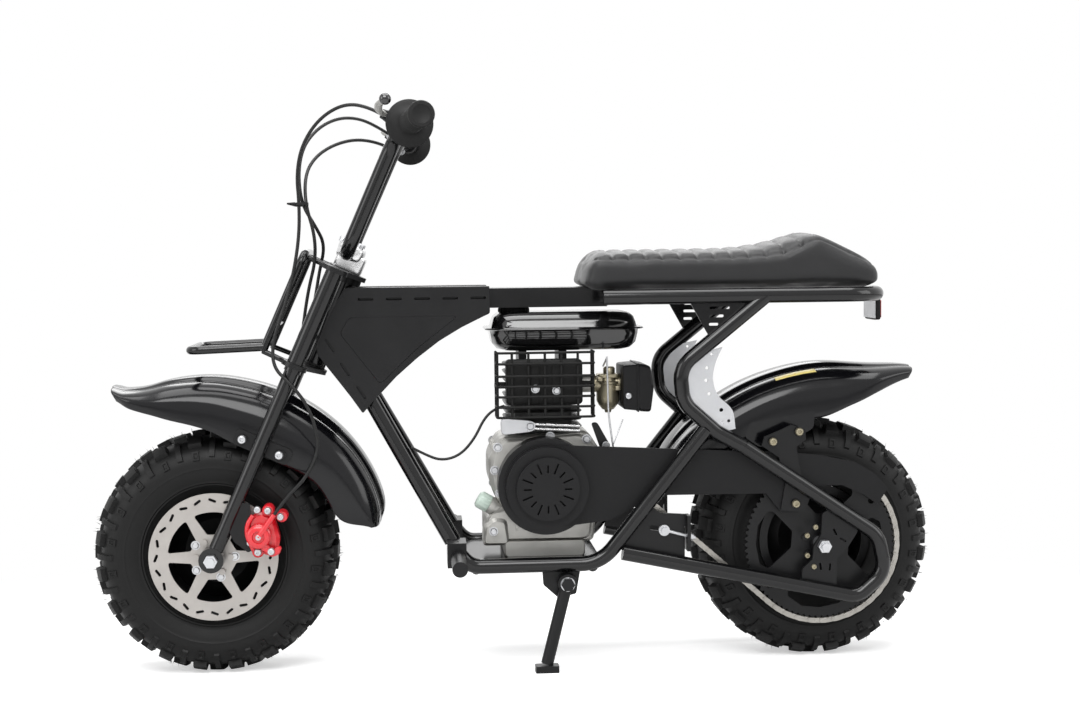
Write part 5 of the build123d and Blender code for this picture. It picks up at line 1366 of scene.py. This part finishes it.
@dataclass
class Engine:
    """Cast crankcase, dark finned cylinder, oil filler, rods, bracket and recoil starter."""

    case: tuple[tuple[float, float], ...] = (
        (336, 186), (322, 318), (344, 352), (474, 344), (491, 314), (491, 278), (480, 252), (466, 230),
        (498, 226), (498, 186))
    left_face: float = 60.0
    right_face: float = -55.0
    # Cylinder: its axis, lowest fin, step from fin to fin and count
    cylinder_x: float = 408.0
    fin_low: float = 358.0
    fin_step: float = 11.5
    fins: int = 9
    # Oil filler: the cap's seat and its direction in side view
    filler: tuple[float, float, float] = (491.0, 44.0, 243.0)
    filler_lean: tuple[float, float, float] = (18.0, 0.0, 10.5)
    cap_waves: int = 12
    # Recoil starter: its axis, and the ring of slots
    recoil_axis: tuple[float, float] = (412.0, 275.0)
    slot_ring: float = 44.0
    slot_count: int = 14

    def castings(self) -> Surface:
        """Crankcase with a raised side cover, its foot, the filler's neck and the intake port."""
        body = plate(self.case, 9.0, self.right_face, self.left_face - 6, 4.0)
        rim = np.array(self.case, float)
        middle = rim.mean(0)
        cover = plate(tuple(middle + (rim - middle) * 0.95), 12.0, self.left_face - 8, self.left_face, 4.0)
        foot = plate(((350, 167), (470, 167), (470, 190), (350, 190)), 5.0, -65, 65, 2.0)
        base = plate(((462, 184), (502, 184), (500, 214), (486, 226), (466, 222)), 6.0, 20, 66, 5.0)
        neck = round_bar(
            smooth_path([
                (446, 46, 208), (455, 45, 220), (468, 44, 230), (480, 44, 236.6), (491, 44, 243)], 24),
            np.interp(np.arange(24), [0, 9, 23], [16, 12.5, 11]), 28)
        collar = round_bar([(484, 44, 239), (491, 44, 243)], 13.2, 28)
        port = round_bar([(329, 6, 418), (368, 6, 418)], 13.0, 28)
        ribs = [rounded_block((478, y, 300), (9, 2.0, 34), 6.0, (13, 20)) for y in (-30, -8, 14, 36)]
        return Surface.merged([body, cover, foot, base, neck, collar, port, *ribs])

    def cylinder(self) -> Surface:
        """The barrel and its thin cooling fins with rounded rims."""
        barrel = rounded_block((self.cylinder_x, 0, 396), (44, 44, 58), 8.0)
        fins = [
            rounded_block(
                (self.cylinder_x, 0, self.fin_low + self.fin_step * i), (58, 56, 1.9), 7.0, (9, 48))
            for i in range(self.fins)]
        return Surface.merged([barrel, *fins])

    def build(self, shop: Workshop) -> None:
        """Makes the castings in place of the CAD block, then what is bolted on them."""
        shop.piece(
            "engine_castings", self.castings(), "frame", CAST_ALLOY, ("engine_block",),
            40.0)
        shop.piece("cylinder_fins", self.cylinder(), "frame", BLACK_CAST, (), 50.0)
        bolts = [
            hexagon_bolt(x, self.left_face, z, 5.2, 6)
            for x, z in (
                (478, 330), (483, 296), (476, 262), (346, 340), (334, 300), (340, 240), (400, 345))]
        bolts += [
            hexagon_bolt(x, self.right_face, z, 5.2, 6, -1)
            for x, z in ((480, 328), (480, 262), (340, 336), (338, 236))]
        bolts.append(hexagon_bolt(486, 66, 206, 5.0, 6))
        shop.piece("crankcase_bolts", Surface.merged(bolts), "frame", ZINC)
        arm = plate(((474, 374), (428, 370), (421, 361), (427, 353), (473, 349)), 7.0, 66, 69, 1.0)
        shop.piece("starter_bracket", arm, "frame", ZINC)
        shop.piece("bracket_bolt", hexagon_bolt(430, 69, 361.5, 5.5, 5), "frame", ZINC)
        rods = [round_bar([(424, 64, z), (356, 64, z - 4)], 2.6, 14) for z in (364.0, 357.0)]
        shop.piece("pushrod_tubes", Surface.merged(rods), "frame", BRIGHT_ALLOY)
        turn = full_turn(72)
        along = np.array(self.filler_lean)
        along /= np.linalg.norm(along)
        side = np.array([-along[2], 0, along[0]])
        rows = np.array([(0, 0), (11.6, 0), (13, 1.2), (13, 15.6), (11.8, 18.4), (9.5, 20), (0, 20.4)])
        radius = scalloped(rows, self.cap_waves, 12.5, turn)
        ring = side * np.cos(turn)[:, None] + np.array([0, 1.0, 0]) * np.sin(turn)[:, None]
        points = np.array(self.filler) + rows[:, 1][:, None, None] * along + radius[..., None] * ring[None]
        shop.piece(
            "filler_cap", Surface.rings(points), "frame", PALE_PLASTIC, ("oil_plug",),
            50.0)
        self.recoil(shop)

    def recoil(self, shop: Workshop) -> None:
        """Recoil starter on the right: a domed housing with a ring of cooling slots."""
        profile = np.array([
            (0, 0), (74, 0), (74, 24), (72, 30), (64, 37), (58, 40.2), (30, 41), (28, 39), (0, 39)])
        x, z = self.recoil_axis
        shell = turned(profile, (x, self.right_face, z), 72, (0, -1, 0))
        slot = rounded_block((0, 0, 0), (11, 2.0, 2.2), 5.0, (9, 16))
        turns = full_turn(self.slot_count)
        places = np.column_stack([
            x + self.slot_ring * np.cos(turns), np.full(self.slot_count, self.right_face - 40.2),
            z + self.slot_ring * np.sin(turns)])
        shop.piece(
            "recoil_housing", Surface.merged([shell, slot.copies(spins(turns), places)]), "frame",
            MATT_PLASTIC, ("recoil_starter",), 45.0)


@dataclass
class Intake:
    """Carburettor with its bowl and throttle rods, and the two-part air cleaner box."""

    centre: tuple[float, float] = (307.0, 6.0)
    # The bowl's turned section: radius and height
    bowl: tuple[tuple[float, float], ...] = (
        (0, 374), (4.5, 374), (5.5, 378), (9, 379), (14.5, 386), (17.3, 392), (17.5, 398), (17.5, 417),
        (19.2, 418), (19.2, 421.5), (15.5, 422.5), (14.5, 427), (0, 427))

    def build(self, shop: Workshop) -> None:
        """Makes both in place of their CAD nodes."""
        x, y = self.centre
        bowl = turned(self.bowl, (x, y, 0), 48, (0, 0, 1))
        throat = round_bar([(289.5, y, 418), (364, y, 418)], 12.8, 36)
        deck = rounded_block((x, y, 430), (17, 15, 3.4), 6.0)
        tower = turned(
            [(0, 430), (9, 430), (9, 441), (6.5, 443.8), (0, 443.8)], (x - 2, y, 0), 28, (0, 0, 1))
        lugs = [
            rounded_block((x + dx, y + 17, z), (5, 5, 4), 4.0, (11, 16))
            for dx, z in ((-13, 412), (14, 426))]
        shop.piece(
            "carburettor_castings", Surface.merged([bowl, throat, deck, tower, *lugs]), "frame",
            CARB_ALLOY, ("carburettor",), 45.0)
        rods = [
            round_bar(smooth_path(
                [(316, 74, 463), (315.4, 75, 420), (314, 75, 377), (307, 74, 322)], 24), 1.4, 10),
            round_bar([(293, 74, 370), (308, 74, 332)], 0.9, 8),
            round_bar([(316, 74, 461), (316, 24, 446)], 1.4, 10, (0, 0, 1))]
        shop.piece("throttle_rods", Surface.merged(rods), "frame", ZINC)
        lever = plate(((340, 365), (331, 366), (311, 330), (325, 322)), 5.0, 67, 70, 0.8)
        shop.piece("governor_lever", lever, "frame", SATIN_STEEL)
        bolt = Surface.merged([
            hexagon_bolt(318, 70, 331, 4.5, 5), round_bar([(318, 52, 331), (318, 68, 331)], 4.0, 14)])
        shop.piece("governor_bolt", bolt, "frame", ZINC)
        base = plate(((289, 447), (265, 449), (263, 379), (289, 382)), 4.0, -35, 47, 2.0)
        cover = plate(
            ((266, 449.6), (261, 449.4), (247, 446), (242, 414), (247, 377), (266, 378.4)), 5.0, -36, 48,
            4.0)
        rib = plate(((267.6, 450.4), (265, 450.4), (265, 377.6), (267.6, 377.6)), 1.0, -36.6, 48.6)
        shop.piece(
            "air_cleaner_box", Surface.merged([base, cover, rib]), "frame", MATT_PLASTIC,
            ("air_cleaner",), 40.0)
        shop.piece("air_cleaner_bolt", dome_bolt(281, 47.6, 402, 5.2, 4), "frame", ZINC)


@dataclass
class RollerChain:
    """Roller chain: outer and inner link plates in turn along a belt line round both sprockets."""

    pitch: float = 9.525
    big_radius: float = 116.76
    small_radius: float = 16.9
    far: tuple[float, float] = (256.0, 92.0)
    middle_y: float = 84.0
    # Faces of the outer and the inner link plates, out from the middle plane
    outer_faces: tuple[float, float] = (3.2, 4.3)
    inner_faces: tuple[float, float] = (2.0, 3.0)
    roller_radius: float = 2.9
    pin_radius: float = 1.7

    def pair(self, link: np.ndarray, faces: tuple[float, float]) -> Surface:
        """One plate on each side of the chain's middle plane."""
        low, high = faces
        return Surface.merged([
            prism(link, self.middle_y + a, self.middle_y + b) for a, b in ((low, high), (-high, -low))])

    def belt(self) -> tuple[np.ndarray, np.ndarray]:
        """Pin places and headings: even steps along two arcs joined by their outer tangents."""
        span, heading = math.hypot(*self.far), math.atan2(self.far[1], self.far[0])
        spread = math.acos((self.big_radius - self.small_radius) / span)
        wide = np.linspace(heading + spread, heading + 2 * np.pi - spread, 400)
        tight = np.linspace(heading - spread, heading + spread, 100)
        line = np.concatenate([
            np.column_stack([self.big_radius * np.cos(wide), self.big_radius * np.sin(wide)]),
            np.column_stack([
                self.far[0] + self.small_radius * np.cos(tight),
                self.far[1] + self.small_radius * np.sin(tight)])])
        line = np.concatenate([line, line[:1]])
        reach = np.concatenate([[0], np.cumsum(np.linalg.norm(np.diff(line, axis=0), axis=1))])
        count = int(round(reach[-1] / self.pitch / 2)) * 2
        at = np.linspace(0, reach[-1], count + 1)
        pins = np.column_stack([np.interp(at, reach, line[:, i]) for i in range(2)])
        step = np.diff(pins, axis=0)
        return (pins[:-1] + pins[1:]) / 2, np.arctan2(step[:, 1], step[:, 0])

    def build(self, shop: Workshop) -> None:
        """Makes the chain in place of its CAD node."""
        middles, heading = self.belt()
        link = oval(12, 4.0, 4.4, 3.9)
        outer = self.pair(link, self.outer_faces)
        inner = self.pair(link * 0.98, self.inner_faces)
        # The two pins of a link stand about half a pitch from its middle
        at = 4.76
        pins = [pin(self.pin_radius, 4.9, (x, self.middle_y, 0), 8) for x in (-at, at)]
        rollers = pin(self.roller_radius, 2.0, (at, self.middle_y, 0), 10)
        places = np.column_stack([middles[:, 0], np.zeros(len(middles)), middles[:, 1] + WHEEL_RADIUS])
        chain = Surface.merged([
            Surface.merged([outer, *pins, rollers]).copies(spins(heading[::2]), places[::2]),
            Surface.merged([inner, rollers]).copies(spins(heading[1::2]), places[1::2])])
        shop.piece("roller_chain", chain, "frame", CHAIN_STEEL, ("drive_chain",), 40.0)


@dataclass
class Caliper:
    """Red cable-pulled caliper: castings joined by bolts, a turned piston housing and its arm."""

    piston: tuple[float, float] = (826.0, 214.0)
    # Side-view outlines of the outer casting, the pulled arm and the inner casting
    casting: tuple[tuple[float, float], ...] = (
        (801, 188), (812, 183), (830, 191), (843, 213), (841, 238), (828, 249), (806, 243), (796, 208))
    arm: tuple[tuple[float, float], ...] = (
        (832, 207), (815, 204), (804, 192), (798, 201), (793, 198), (797, 188), (808, 184), (822, 195))
    inner: tuple[tuple[float, float], ...] = (
        (806, 190), (816, 184), (830, 196), (832, 232), (816, 226), (804, 206))
    # The piston housing's turned section: radius and distance from the casting
    housing: tuple[tuple[float, float], ...] = (
        (0, 0), (17.5, 0), (17.5, 9), (15.5, 11), (15.5, 15), (13, 16.5), (9, 16.5), (8, 14), (5.2, 14),
        (5.2, 17), (0, 17))

    def build(self, shop: Workshop) -> None:
        """Makes the caliper in place of its CAD node."""
        body = plate(self.casting, 9.0, 80.2, 102, 5.0)
        arch = smooth_path([(834, 104, 194), (842, 104, 212), (842, 104, 230), (834, 104, 244)], 24)
        band = round_bar(arch, 3.6, 16)
        bosses = [
            turned([(0, 0), (8.5, 0), (8.5, 20), (7.2, 22), (0, 22)], (x, 84, z), 28)
            for x, z in ((812.6, 250.7), (793, 241.7), (828, 191))]
        housing = turned(self.housing, (self.piston[0], 102, self.piston[1]), 48)
        arm = plate(self.arm, 4.0, 108, 114, 2.0)
        inner = plate(self.inner, 4.0, 65.5, 70.5, 2.0)
        stub = round_bar([(826, 116, 214), (803, 114.5, 246)], [4.6, 3.4], 16)
        parts = [body, band, *bosses, housing, arm, inner, stub]
        shop.piece(
            "caliper_castings", Surface.merged(parts), "fork", RED_ENAMEL,
            ("front_caliper",), 40.0)
        heads = [
            (828, 102, 252), (812.6, 106, 250.7), (795, 106, 241.7), (839, 102, 204.4), (828, 106, 191),
            (808.4, 114, 193)]
        bolts = [dome_bolt(x, y, z, 5.6, 4.5) for x, y, z in heads]
        bolts.append(dome_bolt(self.piston[0], 118.5, self.piston[1], 4.2, 2.0))
        shop.piece("caliper_bolts", Surface.merged(bolts), "fork", ZINC)


@dataclass
class SidePanel:
    """Pressed side panel: a slotted border round a raised triangle, its rear edge hollow."""

    ahead: float = HEAD_X
    border: tuple[tuple[float, float], ...] = (
        (-26, 569), (-237, 568), (-237, 529), (-228, 525), (-195, 509), (-162, 489.5), (-129.5, 465),
        (-99, 438.5), (-79, 417.5), (-66.5, 405), (-49, 385), (-31, 411), (-14, 433.5), (15, 471.5),
        (17, 484), (-2.5, 530))
    triangle: tuple[tuple[float, float], ...] = (
        (-31, 526), (-190, 526), (-129, 478), (-75, 427), (-17, 503))
    top_slots: tuple[float, ...] = (-220.0, -179.0, -138.0, -97.0, -56.0)
    front_slots: tuple[tuple[float, float], ...] = ((-3.2, 485.0), (-24.3, 450.0), (-47.2, 416.0))
    lining: tuple[tuple[float, float], ...] = (
        (-12, 524), (10, 486), (8, 473), (-16, 437), (-46, 396), (-57, 408), (-30, 462), (-22, 505))
    # Half width of a slot, half of its straight length, and how steep the front ones stand
    slot_radius: float = 2.0
    slot_shift: float = 9.5
    front_slope: float = 57.0
    inner: float = 66.5
    outer: float = 69.0

    def slots(self) -> Surface:
        """The slots' cutters: flat ovals turned along their edge."""
        slot = prism(
            oval(20, self.slot_radius, self.slot_shift, self.slot_radius), self.inner - 5, self.outer + 5)
        top = np.array([(self.ahead + x, 0, 552) for x in self.top_slots])
        front = np.array([(self.ahead + x, 0, z) for x, z in self.front_slots])
        return Surface.merged([
            slot.copies(spins(np.zeros(len(top))), top),
            slot.copies(spins(np.full(len(front), math.radians(self.front_slope))), front)])

    def build(self, shop: Workshop) -> None:
        """Makes both panels in place of their CAD nodes."""
        move = np.array([self.ahead, 0.0])
        sheet = prism(smooth_outline(self.border, 3.0) + move, self.inner, self.outer, 0.6)
        raised = prism(smooth_outline(self.triangle, 7.0) + move, self.inner + 0.5, self.outer + 0.9, 1.0)
        fold = Surface.merged([
            rounded_block((self.ahead - 131, 50, 567.6), (106, 17.5, 1.3), 12.0),
            prism(smooth_outline(self.lining, 2.0) + move, self.inner - 4, self.inner - 1.5)])
        slots = self.slots()
        for name, turned_over in (("left", False), ("right", True)):
            parts = [part.mirrored() if turned_over else part for part in (sheet, raised, fold)]
            panel = shop.piece(
                f"side_panel_{name}_plate", parts[0], "frame", SATIN_STEEL,
                (f"side_panel_{name}",))
            shop.cut(panel, slots.mirrored() if turned_over else slots)
            shop.piece(
                f"side_panel_{name}_relief", Surface.merged(parts[1:]), "frame", SATIN_STEEL)


@dataclass
class StayGusset:
    """Bright zinc crescent in each seat stay's bend, drilled with six holes."""

    rear: tuple[tuple[float, float], ...] = (
        (150, 476), (160, 454), (164, 430), (157, 406), (136, 384), (131, 356))
    front: tuple[tuple[float, float], ...] = (
        (172, 471), (192, 456), (206, 431), (203, 402), (178, 370), (144, 353))
    holes: tuple[tuple[float, float, float], ...] = (
        (166, 466, 2.0), (173, 446, 2.4), (174.5, 428, 2.4), (170, 408, 2.4), (152, 384, 3.0),
        (141, 368, 2.4))
    low: float = 104.0

    def build(self, shop: Workshop) -> None:
        """Makes both crescents in place of the CAD node."""
        rear = smooth_path([(x, 0, z) for x, z in self.rear], 40)[:, [0, 2]]
        front = smooth_path([(x, 0, z) for x, z in self.front], 40)[:, [0, 2]]
        ring = [(rear, self.low), (rear, self.low + 3), (front, self.low + 3), (front, self.low)]
        rows = np.stack([np.column_stack([edge[:, 0], np.full(40, y), edge[:, 1]]) for edge, y in ring], 1)
        crescent = Surface.capped(rows)
        drills = Surface.merged([pin(r, 9, (x, self.low, z), 20) for x, z, r in self.holes])
        shape = shop.piece(
            "gusset_crescents", crescent.paired(), "frame", ZINC, ("stay_gussets",))
        shop.cut(shape, drills.paired())


# Outer face of the rear axle's plates
DROPOUT_FACE = 109.0


@dataclass
class SmallParts:
    """Bright fender bolts, the cables' tie, the tail lamp's holder and weld beads."""

    def build(self, shop: Workshop) -> None:
        """Makes each group."""
        front = [dome_bolt(x, 88.8, z, 6.6, 5) for x, z in ((849.0, 352.5), (796.5, 328.5))]
        shop.piece("front_fender_bolts", Surface.merged(front).paired(), "fork", ZINC)
        axle = [
            dome_bolt(x, DROPOUT_FACE, z, 4.2, 3)
            for x, z in ((25, 195.6), (12.5, 208), (25, 166), (15, 149))]
        shop.piece("axle_plate_bolts", Surface.merged(axle).paired(), "frame", CARB_ALLOY)
        rear = [
            dome_bolt(x, 110.0, z, 6.2, 4)
            for x, z in ((37, 350), (76, 336))] + [dome_bolt(41, 106.3, 243, 6.2, 4)]
        shop.piece(
            "rear_fender_bolts", Surface.merged(rear + [bolt.mirrored() for bolt in rear[:2]]), "frame",
            CARB_ALLOY)
        tie = turned(
            [(9.5, -2), (10.6, -2), (10.6, 2), (9.5, 2), (9.5, -2)], (757.5, 83, 690), 28,
            (0.05, -0.1, 1.0))
        tail = round_bar([(766, 88, 690), (777, 92, 691)], [3.2, 1.2], 8)
        shop.piece("cable_tie", Surface.merged([tie, tail]), "fork", MATT_PLASTIC)
        holder = rounded_block((-104, 0, 526), (4.5, 32, 17), 8.0)
        shop.piece("tail_holder", holder, "frame", MATT_PLASTIC)
        stand = hexagon_bolt(382, 126, 136, 7.8, 6)
        shop.piece("stand_pivot_bolt", stand, "frame", ZINC)
        ring = np.radians(35.0 + 72.0 * np.arange(5))
        hub = [
            hexagon_bolt(WHEELBASE + 31 * math.cos(a), 76, WHEEL_RADIUS + 31 * math.sin(a), 5.0, 4)
            for a in ring]
        shop.piece("disc_bolts", Surface.merged(hub), "front_wheel", ZINC)
        beads = []
        for start, end in (((180, 548), (100, 549)), ((96, 546), (140, 505))):
            t = np.linspace(0, 1, 60)
            for y in (104.0, 118.0):
                path = [
                    (start[0] + (end[0] - start[0]) * at, y, start[1] + (end[1] - start[1]) * at)
                    for at in t]
                beads.append(round_bar(path, 2.2 + 0.7 * np.abs(np.sin(t * 44)), 8))
        shop.piece(
            "gusset_welds", Surface.merged(beads).paired(), "frame", POWDER_COAT, (),
            80.0)


# Studio


@dataclass(frozen=True)
class Camera:
    """The photograph's view: millimetres on the floor, degrees, and the focal length in pixels."""

    forward: float = 405.9
    distance: float = 2510.8
    height: float = 464.0
    yaw: float = 4.382
    pitch: float = 0.222
    roll: float = -0.925
    focal_px: float = 1618.6
    width_px: float = 1080.0
    sensor_mm: float = 36.0

    def place(self, space: BikeSpace) -> None:
        """Puts the camera on the bike's left, looking across it."""
        data = bpy.data.cameras.new("camera")
        data.sensor_width = self.sensor_mm
        data.lens = self.focal_px / self.width_px * self.sensor_mm
        camera = bpy.data.objects.new("camera", data)
        bpy.context.scene.collection.objects.link(camera)
        turn = Matrix.Rotation(-math.radians(self.yaw), 3, "Z")
        foot = Vector((space.origin[0], space.origin[1], 0.0))
        spot = foot + turn @ Vector((self.forward, self.distance, self.height)) / 1000.0
        right = Vector((-1, 0, 0))
        ahead = Vector((0, -1, 0))
        up = Vector((0, 0, 1))
        tilt = math.radians(self.pitch)
        roll = math.radians(self.roll)
        up_tilted = up * math.cos(tilt) + ahead * math.sin(tilt)
        look = ahead * math.cos(tilt) - up * math.sin(tilt)
        right_rolled = right * math.cos(roll) + up_tilted * math.sin(roll)
        up_rolled = up_tilted * math.cos(roll) - right * math.sin(roll)
        basis = Matrix((turn @ right_rolled, turn @ up_rolled, turn @ -look)).transposed()
        camera.matrix_world = Matrix.Translation(spot) @ basis.to_4x4()
        bpy.context.scene.camera = camera


@dataclass(frozen=True)
class Studio:
    """White sweep, soft boxes and an even white surround."""

    floor_size: float = 14.0
    floor_lift: float = 0.5
    surround: float = 0.34

    def build(self) -> None:
        """Makes the floor, the lamps and the world."""
        self.floor()
        self.lamp("key", (0.6, 2.6, 2.6), (0.0, 0.0, 0.45), (2.4, 1.6), 88.0)
        self.lamp("overhead", (0.0, 0.2, 3.2), (0.0, 0.0, 0.0), (3.2, 2.0), 80.0)
        self.lamp("front", (2.8, 1.4, 1.3), (0.2, 0.0, 0.4), (1.4, 1.8), 22.0)
        self.lamp("rear", (-2.8, 1.2, 1.5), (-0.2, 0.0, 0.4), (1.4, 1.8), 22.0)
        self.lamp("far side", (0.0, -3.0, 2.2), (0.0, 0.0, 0.4), (2.6, 1.6), 30.0)
        self.world()

    def floor(self) -> None:
        """A pale floor that shows white to the camera and keeps the object's shadow."""
        mesh = bpy.data.meshes.new("floor")
        half = self.floor_size / 2
        mesh.from_pydata(
            [(-half, -half, 0), (half, -half, 0), (half, half, 0), (-half, half, 0)], [], [(0, 1, 2, 3)])
        shape = bpy.data.objects.new("floor", mesh)
        bpy.context.scene.collection.objects.link(shape)
        material = bpy.data.materials.new("white floor")
        material.use_nodes = True
        tree = material.node_tree
        tree.nodes.clear()
        place = add_node(tree, "ShaderNodeTexCoord")
        far = add_node(
            tree, "ShaderNodeVectorMath", {"operation": "LENGTH"}, links={0: place.outputs["Object"]})
        rays = add_node(tree, "ShaderNodeLightPath")
        fade = add_node(
            tree, "ShaderNodeMapRange", {"interpolation_type": "SMOOTHSTEP"},
            {"From Min": 0.5, "From Max": 1.5}, {"Value": far.outputs["Value"]})
        white = add_node(
            tree, "ShaderNodeMath", {"operation": "MULTIPLY"},
            links={0: fade.outputs["Result"], 1: rays.outputs["Is Camera Ray"]})
        lift = add_node(
            tree, "ShaderNodeMath", {"operation": "MULTIPLY"}, {1: self.floor_lift},
            {0: rays.outputs["Is Camera Ray"]})
        matt = add_node(tree, "ShaderNodeBsdfDiffuse", inputs={"Color": (0.86, 0.86, 0.86, 1.0)})
        glow = add_node(tree, "ShaderNodeEmission", links={"Strength": lift.outputs["Value"]})
        near = add_node(
            tree, "ShaderNodeAddShader", links={0: matt.outputs["BSDF"], 1: glow.outputs["Emission"]})
        plain = add_node(tree, "ShaderNodeEmission", inputs={"Strength": 1.0})
        both = add_node(
            tree, "ShaderNodeMixShader",
            links={0: white.outputs["Value"], 1: near.outputs["Shader"], 2: plain.outputs["Emission"]})
        add_node(tree, "ShaderNodeOutputMaterial", links={"Surface": both.outputs["Shader"]})
        mesh.materials.append(material)

    @staticmethod
    def lamp(name: str, place: tuple, target: tuple, size: tuple[float, float], watts: float) -> None:
        """A soft box that looks at a target."""
        data = bpy.data.lights.new(name, "AREA")
        data.shape = "RECTANGLE"
        data.size, data.size_y = size
        data.energy = watts
        lamp = bpy.data.objects.new(name, data)
        bpy.context.scene.collection.objects.link(lamp)
        lamp.location = place
        lamp.rotation_euler = (Vector(target) - Vector(place)).to_track_quat("-Z", "Y").to_euler()

    def world(self) -> None:
        """White for the camera and in mirrors, and a lower even light for the rest."""
        world = bpy.data.worlds.new("studio")
        bpy.context.scene.world = world
        world.use_nodes = True
        tree = world.node_tree
        tree.nodes.clear()
        rays = add_node(tree, "ShaderNodeLightPath")
        seen = add_node(
            tree, "ShaderNodeMath", {"operation": "MAXIMUM"},
            links={0: rays.outputs["Is Camera Ray"], 1: rays.outputs["Is Transmission Ray"]})
        mirrored = add_node(
            tree, "ShaderNodeMath", {"operation": "MAXIMUM"},
            links={0: seen.outputs["Value"], 1: rays.outputs["Is Glossy Ray"]})
        level = add_node(
            tree, "ShaderNodeMapRange", inputs={"To Min": self.surround, "To Max": 1.0},
            links={"Value": mirrored.outputs["Value"]})
        light = add_node(
            tree, "ShaderNodeBackground", inputs={"Color": (1.0, 1.0, 1.0, 1.0)},
            links={"Strength": level.outputs["Result"]})
        add_node(tree, "ShaderNodeOutputWorld", links={"Surface": light.outputs["Background"]})
        bpy.context.scene.view_settings.view_transform = "Standard"


def main() -> None:
    """Builds the pieces in order and reports each one."""
    logging.basicConfig(level=logging.INFO, format="%(message)s")
    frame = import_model()
    space = BikeSpace.from_joints(frame["joints"])
    dress_nodes(frame)
    Camera().place(space)
    Studio().build()
    shop = Workshop(space)
    makers = (
        *CORDS, BalloonTyre("front_tyre", WHEELBASE, "front_wheel"),
        BalloonTyre("rear_tyre", 0.0, "rear_wheel"), FRONT_FENDER, REAR_FENDER, RearFenderFittings(),
        BenchSeat(), FuelTank(), Controls(), BarClamp(), SilencerCage(), Engine(), Intake(),
        RollerChain(), Caliper(), SidePanel(), StayGusset(), SmallParts())
    for maker in makers:
        maker.build(shop)


if __name__ == "__main__":
    main()
